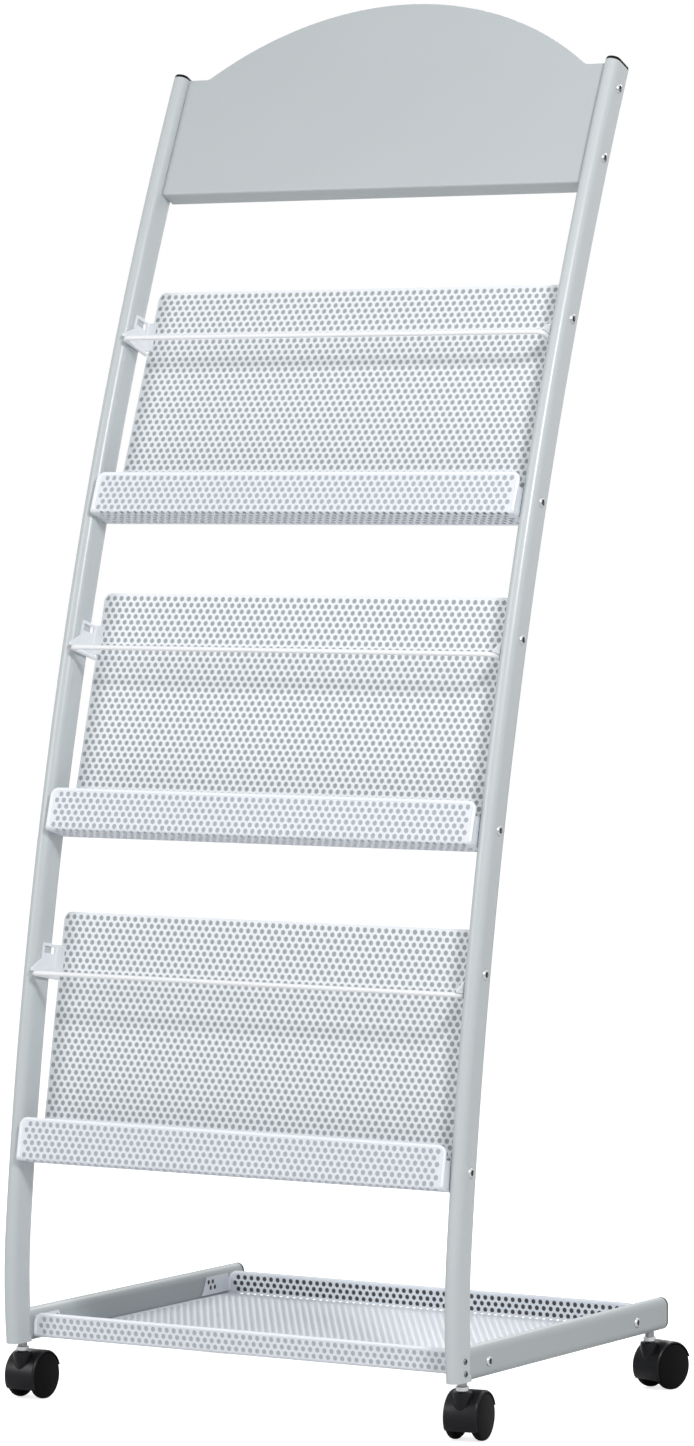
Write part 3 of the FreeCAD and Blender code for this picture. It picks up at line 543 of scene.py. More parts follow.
class TreeMaker:
    """Builds a geometry node tree: named inputs, then nodes, then real geometry in its coat."""

    def __init__(self, name, inputs, output):
        self.tree = bpy.data.node_groups.new(name, "GeometryNodeTree")
        for label, kind, default in inputs:
            made = self.tree.interface.new_socket(
                label, in_out="INPUT", socket_type=f"NodeSocket{kind}",
            )
            if default is not None:
                made.default_value = default
        self.tree.interface.new_socket(
            output, in_out="OUTPUT", socket_type="NodeSocketGeometry",
        )
        self.given = self.tree.nodes.new("NodeGroupInput").outputs
        self.result = self.tree.nodes.new("NodeGroupOutput").inputs[0]

    def node(self, kind, values=(), **settings):
        """Adds a node with its settings, and with a value or a link for each named input."""
        made = self.tree.nodes.new(kind)
        for key, value in settings.items():
            setattr(made, key, value)
        for key, value in dict(values).items():
            if isinstance(value, bpy.types.NodeSocket):
                self.tree.links.new(value, made.inputs[key])
            else:
                made.inputs[key].default_value = value
        return made.outputs

    def calc(self, operation, a, b=0.0):
        return self.node("ShaderNodeMath", {0: a, 1: b}, operation=operation)[0]

    def position(self):
        return self.node("ShaderNodeSeparateXYZ", {0: self.node("GeometryNodeInputPosition")[0]})

    def joined(self, *parts):
        made = self.tree.nodes.new("GeometryNodeJoinGeometry")
        for part in parts:
            self.tree.links.new(part, made.inputs[0])
        return made.outputs[0]

    def finished(self, geometry, seam=0):
        """Ends the tree, with vertices merged that lie within the seam."""
        real = self.node("GeometryNodeRealizeInstances", {"Geometry": geometry})[0]
        if seam:
            real = self.node(
                "GeometryNodeMergeByDistance", {"Geometry": real, "Distance": seam},
            )[0]
        coat = {"Geometry": real, "Material": self.given["Coat"]}
        self.tree.links.new(self.node("GeometryNodeSetMaterial", coat)[0], self.result)
        return self.tree


def evaluated(item):
    """Mesh of an object with its modifiers applied; the object goes."""
    graph = bpy.context.evaluated_depsgraph_get()
    mesh = bpy.data.meshes.new_from_object(item.evaluated_get(graph), depsgraph=graph)
    bpy.data.objects.remove(item)
    return mesh


def grown(tree, values, points=()):
    """Mesh that a node tree makes from its named inputs, on the points where it takes some."""
    seed = bpy.data.meshes.new("seed")
    seed.from_pydata(points, [], [])
    item = placed("seed", seed)
    modifier = item.modifiers.new("growth", "NODES")
    modifier.node_group = tree
    for entry in tree.interface.items_tree:
        if entry.item_type == "SOCKET" and entry.in_out == "INPUT" and entry.name in values:
            modifier[entry.identifier] = values[entry.name]
    return evaluated(item)


def lattice_tree():
    """Flat sheet of hexagons in staggered rows, each with a round hole where it is asked."""
    maker = TreeMaker("punched_lattice", (
        ("Columns", "Int", None), ("Rows", "Int", None), ("Pitch", "Float", HOLE_PITCH),
        ("Row Spacing", "Float", HOLE_ROW), ("Hole Radius", "Float", HOLE_RADIUS),
        ("Hole Sides", "Int", HOLE_SIDES), ("Reach Across", "Float", None),
        ("Reach Up", "Float", None), ("Reach Down", "Float", None), ("Coat", "Material", None),
    ), "Sheet")
    given, node, calc = maker.given, maker.node, maker.calc

    # points in rows, every second row half a pitch on
    width = calc("MULTIPLY", calc("SUBTRACT", given["Columns"], 1.0), given["Pitch"])
    height = calc("MULTIPLY", calc("SUBTRACT", given["Rows"], 1.0), given["Row Spacing"])
    grid = node("GeometryNodeMeshGrid", {
        "Size X": width, "Size Y": height,
        "Vertices X": given["Columns"], "Vertices Y": given["Rows"],
    })["Mesh"]
    above = calc("ADD", maker.position()["Y"], calc("DIVIDE", height, 2.0))
    row = calc("ROUND", calc("DIVIDE", above, given["Row Spacing"]))
    stagger = calc("SUBTRACT", calc("MULTIPLY", calc("MODULO", row, 2.0), 0.5), 0.25)
    shift = node("ShaderNodeCombineXYZ", {"X": calc("MULTIPLY", stagger, given["Pitch"])})[0]
    points = node("GeometryNodeSetPosition", {"Geometry": grid, "Offset": shift})[0]

    # points within the reach get a hole
    where = maker.position()
    along = calc(
        "MULTIPLY",
        calc("LESS_THAN", where["Y"], given["Reach Up"]),
        calc("LESS_THAN", calc("MULTIPLY", where["Y"], -1.0), given["Reach Down"]),
    )
    beside = calc("LESS_THAN", calc("ABSOLUTE", where["X"]), given["Reach Across"])
    inside = calc("MULTIPLY", along, beside)
    outside = calc("SUBTRACT", 1.0, inside)

    # one hexagon that fills its place in the lattice, punched and blank
    circle = "GeometryNodeCurvePrimitiveCircle"
    size = node("ShaderNodeCombineXYZ", {
        "X": calc("DIVIDE", given["Pitch"], math.sqrt(3)),
        "Y": calc("MULTIPLY", given["Row Spacing"], 2 / 3),
        "Z": 1.0,
    })[0]
    upright = node("GeometryNodeTransform", {
        "Geometry": node(circle, {"Resolution": 6, "Radius": 1.0}, mode="RADIUS")[0],
        "Rotation": (0, 0, math.pi / 2),
    })[0]
    cell = node("GeometryNodeTransform", {"Geometry": upright, "Scale": size})[0]
    hole = node(circle, {
        "Resolution": given["Hole Sides"], "Radius": given["Hole Radius"],
    }, mode="RADIUS")[0]
    punched = node("GeometryNodeFillCurve", {"Curve": maker.joined(cell, hole)})[0]
    blank = node("GeometryNodeFillCurve", {"Curve": cell})[0]

    tiles = [
        node("GeometryNodeInstanceOnPoints", {
            "Points": points, "Instance": tile, "Selection": chosen,
        })[0]
        for tile, chosen in ((punched, inside), (blank, outside))
    ]
    return maker.finished(maker.joined(*tiles), seam=TILE_SEAM)


def screw_tree():
    """Copy of one shape on each point, turned to face away from the rack's middle."""
    maker = TreeMaker("screw_rows", (
        ("Points", "Geometry", None), ("Shape", "Object", None), ("Coat", "Material", None),
    ), "Screws")
    on_left = maker.calc("LESS_THAN", maker.position()["X"], 0.0)
    turn = maker.calc("MULTIPLY", on_left, math.pi)
    shape = maker.node("GeometryNodeObjectInfo", {"Object": maker.given["Shape"]})["Geometry"]
    laid = maker.node("GeometryNodeInstanceOnPoints", {
        "Points": maker.given["Points"],
        "Instance": shape,
        "Rotation": maker.node("ShaderNodeCombineXYZ", {"Z": turn})[0],
    })[0]
    return maker.finished(laid)


LATTICE = lattice_tree()
SCREW_ROWS = screw_tree()


# ---- punched sheets ----

def lattice(width, height, across, up, down, coat):
    """Flat lattice that covers width by height, punched within the reach across, up and down."""
    return grown(LATTICE, {
        "Columns": math.ceil(width / HOLE_PITCH) + SPARE_COLUMNS,
        "Rows": 2 * math.ceil(height / 2 / HOLE_ROW) + SPARE_ROWS,
        "Reach Across": across, "Reach Up": up, "Reach Down": down, "Coat": coat,
    })


def punched_plate(outline, zone, wall, place, coat=SHEET_COAT, creases=()):
    """Sheet of a convex outline, punched within the zone, put in the frame place(a, b, c).

    The zone is (left, right, low, high). The top row of holes touches its high edge, and the
    sheet is split along the creases so that place can bend it there.
    """
    left, right, low, high = zone
    rows = math.floor((high - low - 2 * HOLE_RADIUS) / HOLE_ROW)
    first = high - HOLE_RADIUS
    middle = Vector(((left + right) / 2, first - HOLE_ROW * (rows // 2), 0))
    width = 2 * max(abs(a - middle.x) for a, b in outline)
    height = 2 * max(abs(b - middle.y) for a, b in outline)
    across = (right - left) / 2 - HOLE_RADIUS
    up, down = first - middle.y, middle.y - first + rows * HOLE_ROW
    bm = opened(lattice(width, height, across + TOUCH, up + TOUCH, down + TOUCH, coat))
    bmesh.ops.translate(bm, verts=bm.verts, vec=middle)
    cuts = [(start, end, True) for start, end in zip(outline, outline[1:] + outline[:1])]
    cuts += [((0, level), (1, level), False) for level in creases]
    for (a, b), (c, d), trim in cuts:
        bmesh.ops.bisect_plane(
            bm, geom=bm.verts[:] + bm.edges[:] + bm.faces[:], dist=HAIR,
            plane_co=(a, b, 0), plane_no=(d - b, a - c, 0), clear_outer=trim,
        )
    sheet = placed("flat", mesh_of("flat", bm))
    solidify = sheet.modifiers.new("thickness", "SOLIDIFY")
    solidify.thickness = wall
    solidify.offset = 0
    bm = opened(evaluated(sheet))
    for vert in bm.verts:
        vert.co = place(*vert.co)
    for face in bm.faces:
        face.material_index = 0
    return outward(bm)


def inset_zone(outline, sides, low, high):
    """Zone inside an outline's box, in from its ends, its lower and its upper edge."""
    across = [a for a, b in outline]
    along = [b for a, b in outline]
    return min(across) + sides, max(across) - sides, min(along) + low, max(along) - high


def hole_painted_shade(outline, place):
    """Thin layer at the middle of a sheet whose flat colour paints the shade seen through its
    holes.
    """
    inner = [(a * PAINTED_SHADE_SHARE, b * PAINTED_SHADE_SHARE) for a, b in outline]
    return prism(inner, (-PAINTED_SHADE / 2, PAINTED_SHADE / 2), place)


def lip_outline(half, length, corner):
    """Outline of a sheet whose top edge is at 0 and has rounded corners."""
    return [(a, b - length / 2) for a, b in rounded_box(2 * half, length, 0, corner)]


def rim(half, low, high, corner, place):
    """Rolled hem up one end of a lip, along its top and down the other end."""
    inset = HEM_WIDTH / 2
    a, b, r = half - inset, high - inset, corner - inset
    line = [(a, low)] + arc(a - r, b - r, r, 0, 90, HEM_CORNER_SPANS)
    line += arc(r - a, b - r, r, 90, 180, HEM_CORNER_SPANS) + [(-a, low)]
    path = [place(x, u, 0) for x, u in line]
    normal = (place(0, 0, 1) - place(0, 0, 0)).normalized()
    bead = [(t * 0.5 * HEM_THICKNESS, w * inset) for w, t in unit_circle(HEM_SIDES)]
    bm = swept(path, normal, bead)
    # the hem takes the second slot, whose brighter paint is a painted highlight on the bead
    for face in bm.faces:
        face.material_index = 1
    return bm


class Fold:
    """Sheet that runs down a lip, round a bend and back along a floor.

    Lengths run down from the top of the lip.
    """

    def __init__(self, face, top, floor, wall):
        self.face, self.top, self.floor = face, top, floor
        self.radius = SHELF_BEND - wall / 2
        self.wall = wall
        self.straight = top - floor - SHELF_BEND
        self.turned = self.straight + self.radius * math.pi / 2

    def creases(self):
        bend = self.turned - self.straight
        return [-self.straight - bend * i / BEND_CUTS for i in range(BEND_CUTS + 1)]

    def spot(self, b, c):
        """Depth behind the lip's face and height, at length -b and c in from mid-sheet."""
        length = -b
        centre_back, centre_up = self.face + SHELF_BEND, self.floor + SHELF_BEND
        if length <= self.straight:
            return self.face + self.wall / 2 + c, self.top - length
        if length <= self.turned:
            turn = (length - self.straight) / self.radius
            reach = self.radius - c
            return centre_back - reach * math.cos(turn), centre_up - reach * math.sin(turn)
        return centre_back + length - self.turned, self.floor + self.wall / 2 + c


class Leaf:
    """Leaning frame of a shelf and its sizes there, read from its CAD node."""

    def __init__(self, name):
        mesh = frame["nodes"][f"magazine_shelf_{name}"].data
        areas = {}
        for face in mesh.polygons:
            if face.normal.y < FACES_FORWARD and abs(face.normal.x) < FACES_ASIDE:
                key = tuple(round(v, 3) for v in face.normal)
                areas[key] = areas.get(key, 0) + face.area
        facing = Vector(max(areas, key=areas.get)).normalized()
        self.back_way = -facing
        self.up_way = facing.cross(X_AXIS)
        points = [self.within(v.co) for v in mesh.vertices]
        self.half, self.rear, self.top = (max(p[i] for p in points) for i in range(3))
        self.front, self.floor = (min(p[i] for p in points) for i in (1, 2))
        self.lip_top = max(up for x, back, up in points if back < self.front + HEM_THICKNESS)
        panel = [(abs(x), back) for x, back, up in points if up > self.lip_top + HEM_WIDTH]
        self.panel_half = max(x for x, back in panel)
        self.wall = self.rear - max(back for x, back in panel if back < self.rear - FACE_MARGIN)

    def within(self, point):
        return point.x, point.dot(self.back_way), point.dot(self.up_way)

    def at(self, x, back, up):
        return X_AXIS * x + self.back_way * back + self.up_way * up


def make_panel(name, leaf):
    """Leaning back of a shelf, and the layer of painted shade inside its holes."""
    low = leaf.floor + SHELF_BEND
    middle, tall = (low + leaf.top) / 2, leaf.top - low

    def on_panel(a, b, c):
        return leaf.at(a, leaf.rear - leaf.wall / 2 + c, middle + b)

    outline = rounded_box(2 * leaf.panel_half, tall, 0, PANEL_CORNER)
    zone = inset_zone(outline, SIDE_BAND, 0, EDGE_BAND)
    panel = punched_plate(outline, zone, leaf.wall, on_panel)
    shelf = piece(f"punched_shelf_{name}", panel, [SHEET_COAT], crease=SHEET_CREASE)
    stand_in(shelf, f"magazine_shelf_{name}", slot="sheet_paint")
    # painted shade: a grey layer inside the panel, seen through its holes
    painted_shade = piece(f"panel_backing_{name}", hole_painted_shade(outline, on_panel), [PANEL_HOLE_SHADE])


def make_trough(name, leaf):
    """Lip, floor, bends, hem and end cheeks of a shelf, and the layer of painted shade inside the
    lip's holes.
    """
    front, rear, floor = leaf.front, leaf.rear, leaf.floor
    half, wall = leaf.half, leaf.wall
    fold = Fold(front + HEM_STEP, leaf.lip_top, floor, wall)

    def on_fold(a, b, c):
        return leaf.at(a, *fold.spot(b, c))

    bend_back, bend_up = rear - SHELF_BEND, floor + SHELF_BEND
    back_bend = prism(
        arc(bend_back, bend_up, SHELF_BEND, 270, 360, BEND_CUTS)
        + arc(bend_back, bend_up, SHELF_BEND - wall, 360, 270, BEND_CUTS),
        (-leaf.panel_half, leaf.panel_half), lambda back, up, x: leaf.at(x, back, up),
    )
    length = fold.turned + rear - front - HEM_STEP - 2 * SHELF_BEND
    outline = lip_outline(half, length, LIP_CORNER)
    zone = inset_zone(outline, HEM_WIDTH, 0, HEM_WIDTH)
    sheet = punched_plate(outline, zone, wall, on_fold, TROUGH_SHADED_COAT, fold.creases())
    hem = rim(
        half, bend_up, leaf.lip_top, LIP_CORNER,
        lambda x, up, c: leaf.at(x, front + HEM_THICKNESS / 2 + c, up),
    )
    cheek_back = (front + HEM_STEP + rear) / 2
    cheek_up = floor + wall / 2 + CHEEK_RISE / 2
    cheek_depth = rear - front - wall - HEM_STEP
    cheek = rounded_box(cheek_depth, CHEEK_RISE, CHEEK_FOOT_CORNER, CHEEK_HEAD_CORNER)
    cheeks = [
        bevelled(prism(
            cheek, (out, out + wall), lambda a, b, x: leaf.at(x, cheek_back + a, cheek_up + b),
        ), CHEEK_ROUNDING, angle=60)
        for out in (half - wall, -half)
    ]
    trough = merged(sheet, back_bend, hem, *cheeks)
    # the trough wears the darker, cooler sheet paint (painted shade) and the brighter hem paint
    # (painted highlight)
    coats = [TROUGH_SHADED_COAT, HEM_HIGHLIGHT_COAT]
    trough = piece(f"punched_trough_{name}", trough, coats, crease=SHEET_CREASE)
    outline = lip_outline(half, fold.straight, LIP_CORNER)
    # painted shade: a grey layer inside the lip, seen through its holes
    painted_shade = piece(f"lip_backing_{name}", hole_painted_shade(outline, on_fold), [LIP_HOLE_SHADE])


LEAVES = {name: Leaf(name) for name in SHELVES}
for name, leaf in LEAVES.items():
    make_panel(name, leaf)
    make_trough(name, leaf)


def tray_end(low, high, inward):
    """One lip of the tray down to its floor with its hem and two tabs, and the layers of painted
    shade inside their holes.
    """
    half, wall = high.x, TRAY_WALL
    edge = low.y if inward > 0 else high.y
    fold = Fold(HEM_STEP, high.z, low.z, wall)

    def on_fold(a, b, c):
        depth, height = fold.spot(b, c)
        return Vector((a, edge + inward * depth, height))

    outline = lip_outline(half, fold.turned, TRAY_CORNER)
    zone = inset_zone(outline, HEM_WIDTH, -HOLE_RADIUS, HEM_WIDTH)
    parts = [punched_plate(outline, zone, wall, on_fold, TROUGH_SHADED_COAT, fold.creases())]
    parts.append(rim(
        half, low.z + SHELF_BEND, high.z, TRAY_CORNER,
        lambda x, z, c: Vector((x, edge + inward * HEM_THICKNESS / 2 + c, z)),
    ))
    rise = high.z - low.z - TAB_DROP
    foot, head = SHELF_BEND - rise / 2, rise / 2
    tab = [
        (0, foot), (TAB_LENGTH, foot), (TAB_LENGTH - TAB_SLOPE, head),
        (TAB_LEAD, head), (0, TAB_SHOULDER - rise / 2),
    ]
    zone = (TAB_HOLES, TAB_LENGTH - TAB_SLOPE, foot, head - EDGE_BAND)
    painted_shades = []
    for out in (half - wall, -half):
        def on_tab(a, b, c):
            back = edge + inward * (a + wall / 2 + HEM_STEP)
            return Vector((out + wall / 2 + c, back, low.z + rise / 2 + b))

        parts.append(punched_plate(tab, zone, wall, on_tab, TROUGH_SHADED_COAT))
        painted_shades.append(hole_painted_shade(tab, on_tab))
    outline = lip_outline(half, fold.straight, TRAY_CORNER)
    return merged(*parts), hole_painted_shade(outline, on_fold), merged(*painted_shades)


def make_tray():
    low, high = (Vector(v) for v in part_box("bottom_tray"))
    middle = (low + high) / 2
    outline = rounded_box(2 * high.x, high.y - low.y - 2 * SHELF_BEND - 2 * HEM_STEP, 0, 0)
    floor = punched_plate(
        outline, inset_zone(outline, EDGE_BAND, 0, 0), TRAY_WALL,
        lambda a, b, c: Vector((a, middle.y + b, low.z + TRAY_WALL / 2 + c)), TROUGH_SHADED_COAT,
    )
    stand_in(piece("punched_tray_floor", floor, [TROUGH_SHADED_COAT]), "bottom_tray", slot="sheet_paint")
    # the tray's lips wear the darker, cooler sheet paint (painted shade) and the brighter hem
    # paint (painted highlight)
    coats = [TROUGH_SHADED_COAT, HEM_HIGHLIGHT_COAT]
    # painted shade: layers inside the tray's lips and tabs, seen through their holes; near black
    # at the rear
    for end, inward, shade in (("front", 1, LIP_HOLE_SHADE), ("rear", -1, TRAY_HOLE_SHADE)):
        lip, painted_shade, tab_painted_shade = tray_end(low, high, inward)
        lip = piece(f"punched_tray_lip_{end}", lip, coats, crease=SHEET_CREASE)
        piece(f"tray_lip_backing_{end}", painted_shade, [shade])
        piece(f"tray_tab_backing_{end}", tab_painted_shade, [TRAY_HOLE_SHADE])


make_tray()


# ---- header, wires and ears ----

board = softened("header_board", HEADER_ROUNDING, segments=3, fold=HEADER_FOLD)
# the header wears the darker copy of the frame's paint, a painted shade
header = piece("arched_header", board, [HEADER_SHADED_COAT])
stand_in(header, "header_board", slot="header_paint")


def make_wire(name, leaf):
    node = f"retaining_wire_{name}"
    points = [leaf.within(v.co) for v in frame["nodes"][node].data.vertices]
    low = [min(p[i] for p in points) for i in range(3)]
    high = [max(p[i] for p in points) for i in range(3)]
    radius = (high[2] - low[2]) / 2
    half, front = high[0] - radius, low[1] + radius
    level = (low[2] + high[2]) / 2
    bend_x, bend_back = half - WIRE_BEND, front + WIRE_BEND
    line = [(half, high[1])] + arc(bend_x, bend_back, WIRE_BEND, 0, -90, WIRE_BEND_SPANS)
    line += arc(-bend_x, bend_back, WIRE_BEND, 270, 180, WIRE_BEND_SPANS) + [(-half, high[1])]
    section = [(radius * a, radius * b) for a, b in unit_circle(WIRE_SIDES)]
    rod = swept([leaf.at(x, back, level) for x, back in line], leaf.up_way, section)
    stand_in(piece(f"coated_wire_{name}", rod, [WIRE_COAT]), node, slot="wire_paint")


def make_ear(node):
    ear = piece(f"soft_{node}", softened(node, EAR_ROUNDING), [SHEET_COAT])
    stand_in(ear, node, slot="ear_paint")


for name, leaf in LEAVES.items():
    make_wire(name, leaf)
    for side in SIDES:
        make_ear(f"shelf_ear_{name}_{side}")


# ---- screws ----

def on_posts(heights):
    """Spots on the outer faces of both posts."""
    return [
        (sign * OUTER_FACE, bow(height * MM)[0], height * MM)
        for sign in SIDES.values() for height in heights
    ]


def on_rails(places):
    """Spots on the outer faces of both rails: back from the post's foot, up from below."""
    return [
        (sign * OUTER_FACE, AXIS_AT_JOIN + back * MM, UNDERSIDE + up * MM)
        for sign in SIDES.values() for back, up in places
    ]


def make_screws(name, spots, radius, coat):
    """Button heads of a radius on the spots, each with a dark disc in its recess that paints the
    recess's shade.
    """
    for part, shares, finish in (("heads", BUTTON, coat), ("recesses", RECESS_SHADE, RECESS_SHADE_STEEL)):
        profile = [(a * radius, b * radius) for a, b in shares]
        turned = lathe(profile, lambda a, b, c: (a, b, c), SCREW_SIDES)
        shape = bpy.data.objects.new("screw_shape", mesh_of("screw_shape", turned))
        bm = opened(grown(SCREW_ROWS, {"Shape": shape, "Coat": finish}, spots))
        bpy.data.objects.remove(shape)
        piece(f"{name}_{part}", bm, [finish], crease=50)


make_screws("screw", on_posts(SCREW_HEIGHTS) + on_rails(RAIL_SCREWS), SCREW_HEAD, BRIGHT_STEEL)
make_screws("foot_screw", on_posts(FOOT_SCREW_HEIGHTS), FOOT_SCREW_HEAD, DULL_STEEL)


# ---- casters ----

joints = {joint["name"]: joint for joint in frame["record"]["behaviour"]["joints"]}


def wear(node, material):
    """Gives a CAD node that stays in the scene its material."""
    for slot in frame["nodes"][node].material_slots:
        slot.material = material


class Caster:
    """Place, heading and sizes of one caster, read from its CAD nodes and joints."""

    def __init__(self, corner):
        self.corner = corner
        self.name = f"{corner}_caster"
        roll = joints[f"{corner}_wheel_right_roll"]
        self.along = Vector(roll["axis"])
        self.centre = Vector(roll["pos_m"])
        self.back_way = Z_AXIS.cross(self.along)
        self.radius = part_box(f"{self.name}_wheel_right")[1][2] / 2
        wheel = frame["nodes"][f"{self.name}_wheel_right"].data
        reaches = [abs((v.co - self.centre).dot(self.along)) for v in wheel.vertices]
        self.near, self.far = min(reaches), max(reaches)
        low, high = (Vector(v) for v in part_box(f"{self.name}_stem"))
        self.pin_end, self.shank_end = low.z, high.z
        self.collar = (high.x - low.x) / 2
        self.stem = Vector(((low.x + high.x) / 2, (low.y + high.y) / 2, 0))
        stem = frame["nodes"][f"{self.name}_stem"].data
        self.ring_low = min(
            v.co.z for v in stem.vertices if (v.co - self.stem).xy.length > WITHIN_COLLAR
        )
        self.ring_high = self.ring_low + RING_HEIGHT
        self.boss_top = self.ring_low - BOSS_GAP

    def at(self, a, b, c):
        """Along the axle, back from it and up from it."""
        return self.centre + self.along * a + self.back_way * b + Z_AXIS * c

    def upright(self, a, b, c):
        """Up the stem's axis and across it."""
        return Vector((self.stem.x + b, self.stem.y + c, a))

    def wheel(self, side, sign):
        unit, hollow = (self.far - self.near) / TREAD_UNITS, self.near + HUB_HOLLOW
        section = [(self.near + unit * a, self.radius * r) for a, r in TREAD]
        section += [(self.far, 0), (hollow, 0), (hollow, HUB * self.radius)]
        turned = lathe([(sign * a, r) for a, r in section], self.at, WHEEL_SIDES)
        body = f"{self.corner}_wheel_{side}"
        wheel = piece(f"{self.name}_disc_{side}", turned, [WHEEL_PLASTIC], body, crease=25)
        stand_in(wheel, f"{self.name}_wheel_{side}", slot="wheel_plastic")

    def shell(self):
        """Curved cover over both wheels, drawn in a little at its two ends."""
        far, inner = self.far, self.radius + HOOD_GAP
        round_up = inner + HOOD_WALL - HOOD_EDGE
        section = [(-far, inner), (-far, inner + HOOD_RIM)]
        section += arc(HOOD_EDGE - far, round_up, HOOD_EDGE, 165, 90, HOOD_EDGE_SPANS)
        section += arc(far - HOOD_EDGE, round_up, HOOD_EDGE, 90, 15, HOOD_EDGE_SPANS)
        section += [(far, inner + HOOD_RIM), (far, inner)]
        rings = []
        for i in range(HOOD_SPANS + 1):
            turn = HOOD_BACK + (math.pi + HOOD_FRONT - HOOD_BACK) * i / HOOD_SPANS
            to_end = max(0, abs(2 * i / HOOD_SPANS - 1) - (1 - HOOD_DRAW_SPAN)) / HOOD_DRAW_SPAN
            reaches = [(a, max(r * (1 - HOOD_DRAW * to_end), inner)) for a, r in section]
            rings.append([
                self.at(a, r * math.cos(turn), r * math.sin(turn)) for a, r in reaches
            ])
        return outward(skin(rings))

    def web(self):
        """Plate between the wheels, from the shell down to the axle."""
        middle = (HOOD_BACK + math.pi + HOOD_FRONT) / 2
        start, end = math.degrees(HOOD_BACK), 180 + math.degrees(HOOD_FRONT)
        line = arc(0, 0, self.radius + HOOD_GAP + WEB_LAP, start, end, WEB_SPANS)
        line.append((-HOOD_NOSE * math.cos(middle), -HOOD_NOSE * math.sin(middle)))
        plate = prism(line, (-WEB_HALF, WEB_HALF), lambda b, c, a: self.at(a, b, c))
        return bevelled(plate, WEB_ROUNDING)

    def boss(self):
        """Flared boss round the pin, wide at its top."""
        top = self.boss_top
        line = [(top, 0), (top, BOSS_TOP - BOSS_ROUNDING), (top - BOSS_ROUNDING, BOSS_TOP)]
        for i in range(1, BOSS_SPANS + 1):
            t = i / BOSS_SPANS
            height = top - BOSS_ROUNDING - (BOSS_HEIGHT - BOSS_ROUNDING) * t
            line.append((height, BOSS_TOP + (BOSS_BASE - BOSS_TOP) * t ** 2))
        line.append((line[-1][0], 0))
        return lathe(line, self.upright, BOSS_SIDES)

    def hood(self):
        cover = merged(self.shell(), self.web(), self.boss())
        swivel = f"{self.corner}_swivel"
        hood = piece(f"{self.name}_cover", cover, [HOOD_PLASTIC], swivel, crease=40)
        stand_in(hood, f"{self.name}_hood", slot="hood_plastic")

    def stem_ring(self):
        """Pin and bright collar, which stay with the frame."""
        low, high, collar = self.ring_low, self.ring_high, self.collar
        line = [
            (self.pin_end, 0), (self.pin_end, PIN), (low, PIN), (low, collar - RING_CHAMFER),
            (low + RING_CHAMFER, collar), (high - RING_CHAMFER, collar),
            (high, collar - RING_TOP_CHAMFER), (high, 0),
        ]
        turned = lathe(line, self.upright, STEM_SIDES)
        ring = piece(f"{self.name}_bright_ring", turned, [BRIGHT_STEEL], "frame", crease=30)
        stand_in(ring, f"{self.name}_stem", slot="bright_stem")

    def stem_neck(self):
        """Neck up to the tube and shank inside it."""
        low, high = self.ring_high, self.shank_end
        line = [
            (low, 0), (low, NECK), (UNDERSIDE, NECK), (UNDERSIDE, SHANK), (high, SHANK), (high, 0),
        ]
        turned = lathe(line, self.upright, STEM_SIDES)
        neck = piece(f"{self.name}_stem_neck", turned, [NECK_STEEL], "frame", crease=30)


for end in ("front", "rear"):
    for side in SIDES:
        caster = Caster(f"{end}_{side}")
        for wheel_side, sign in SIDES.items():
            caster.wheel(wheel_side, sign)
        caster.hood()
        wear(f"{caster.name}_axle", BRIGHT_STEEL)
        caster.stem_ring()
        caster.stem_neck()

for side in SIDES:
    wear(f"foot_socket_{side}", BLACK_PLASTIC)


# ---- studio ----

def white_to_camera(tree, white, other):
    """Plain white for camera, mirror and glass rays, and the other shader for the rest."""
    path = tree.nodes.new("ShaderNodeLightPath")
    seen = path.outputs["Is Camera Ray"]
    for ray in ("Is Glossy Ray", "Is Transmission Ray"):
        most = tree.nodes.new("ShaderNodeMath")
        most.operation = "MAXIMUM"
        tree.links.new(seen, most.inputs[0])
        tree.links.new(path.outputs[ray], most.inputs[1])
        seen = most.outputs[0]
    mix = tree.nodes.new("ShaderNodeMixShader")
    for i, output in enumerate((seen, other, white)):
        tree.links.new(output, mix.inputs[i])
    return mix.outputs[0]


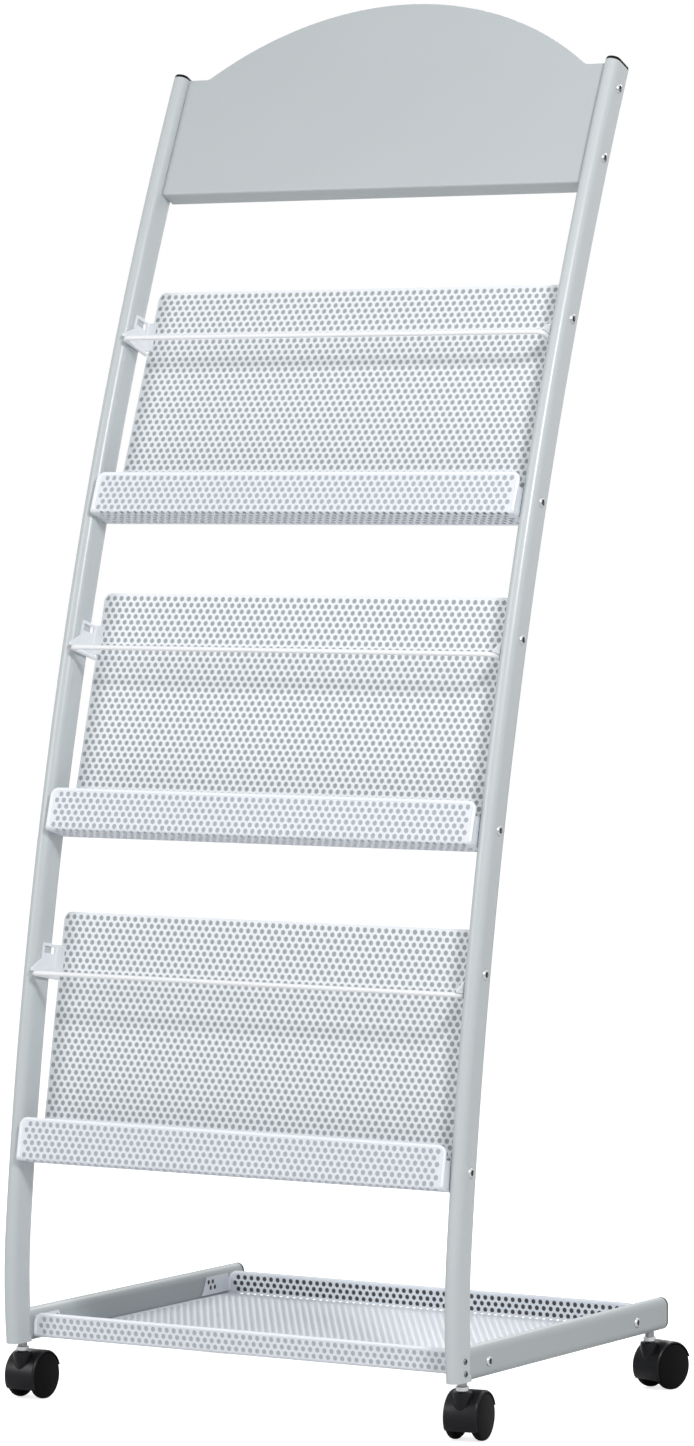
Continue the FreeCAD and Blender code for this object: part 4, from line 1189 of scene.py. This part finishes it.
def make_world():
    world = bpy.data.worlds.new("studio")
    bpy.context.scene.world = world
    world.use_nodes = True
    tree = world.node_tree
    ambient = tree.nodes["Background"]
    ambient.inputs["Color"].default_value = (1, 1, 1, 1)
    ambient.inputs["Strength"].default_value = AMBIENT
    white = tree.nodes.new("ShaderNodeBackground")
    white.inputs["Color"].default_value = (1, 1, 1, 1)
    mixed = white_to_camera(tree, white.outputs[0], ambient.outputs[0])
    tree.links.new(mixed, tree.nodes["World Output"].inputs["Surface"])


def make_floor():
    bm = bmesh.new()
    bmesh.ops.create_grid(bm, x_segments=1, y_segments=1, size=FLOOR_REACH)
    mesh = mesh_of("studio_floor", bm)
    floor = placed("studio_floor", mesh)
    paper = Finish("floor_paper", (FLOOR_SHADE,) * 3, roughness=0.9)
    paper.shine(0)
    paper.shader.inputs["Emission Color"].default_value = (1, 1, 1, 1)
    glow = paper.add("ShaderNodeMath", operation="MULTIPLY")
    glow.inputs[1].default_value = FLOOR_GLOW
    paper.link(paper.add("ShaderNodeLightPath").outputs["Is Camera Ray"], glow.inputs[0])
    paper.link(glow.outputs[0], paper.shader.inputs["Emission Strength"])
    mesh.materials.append(paper.material)


def make_lamp(name, place, aim, size, watts):
    light = bpy.data.lights.new(name, "AREA")
    light.shape = "DISK"
    light.size = size
    light.energy = watts
    lamp = placed(name, light)
    lamp.location = place
    lamp.rotation_euler = (Vector(aim) - Vector(place)).to_track_quat("-Z", "Y").to_euler()


def make_camera():
    camera = placed("camera", bpy.data.cameras.new("camera"))
    x, y, z = CAMERA_PLACE
    camera.location = (x, y + AXIS_AT_JOIN, z)
    level = math.cos(CAMERA_PITCH)
    look = Vector((
        -math.sin(CAMERA_AZIMUTH) * level, math.cos(CAMERA_AZIMUTH) * level,
        -math.sin(CAMERA_PITCH),
    ))
    camera.rotation_euler = look.to_track_quat("-Z", "Y").to_euler()
    camera.data.sensor_width = SENSOR
    camera.data.lens = SENSOR * FOCAL_ROWS / IMAGE_ROWS
    bpy.context.scene.camera = camera


make_world()
make_floor()
for name, setup in LAMPS.items():
    make_lamp(name, *setup)
make_camera()
bpy.context.scene.view_settings.view_transform = "Standard"
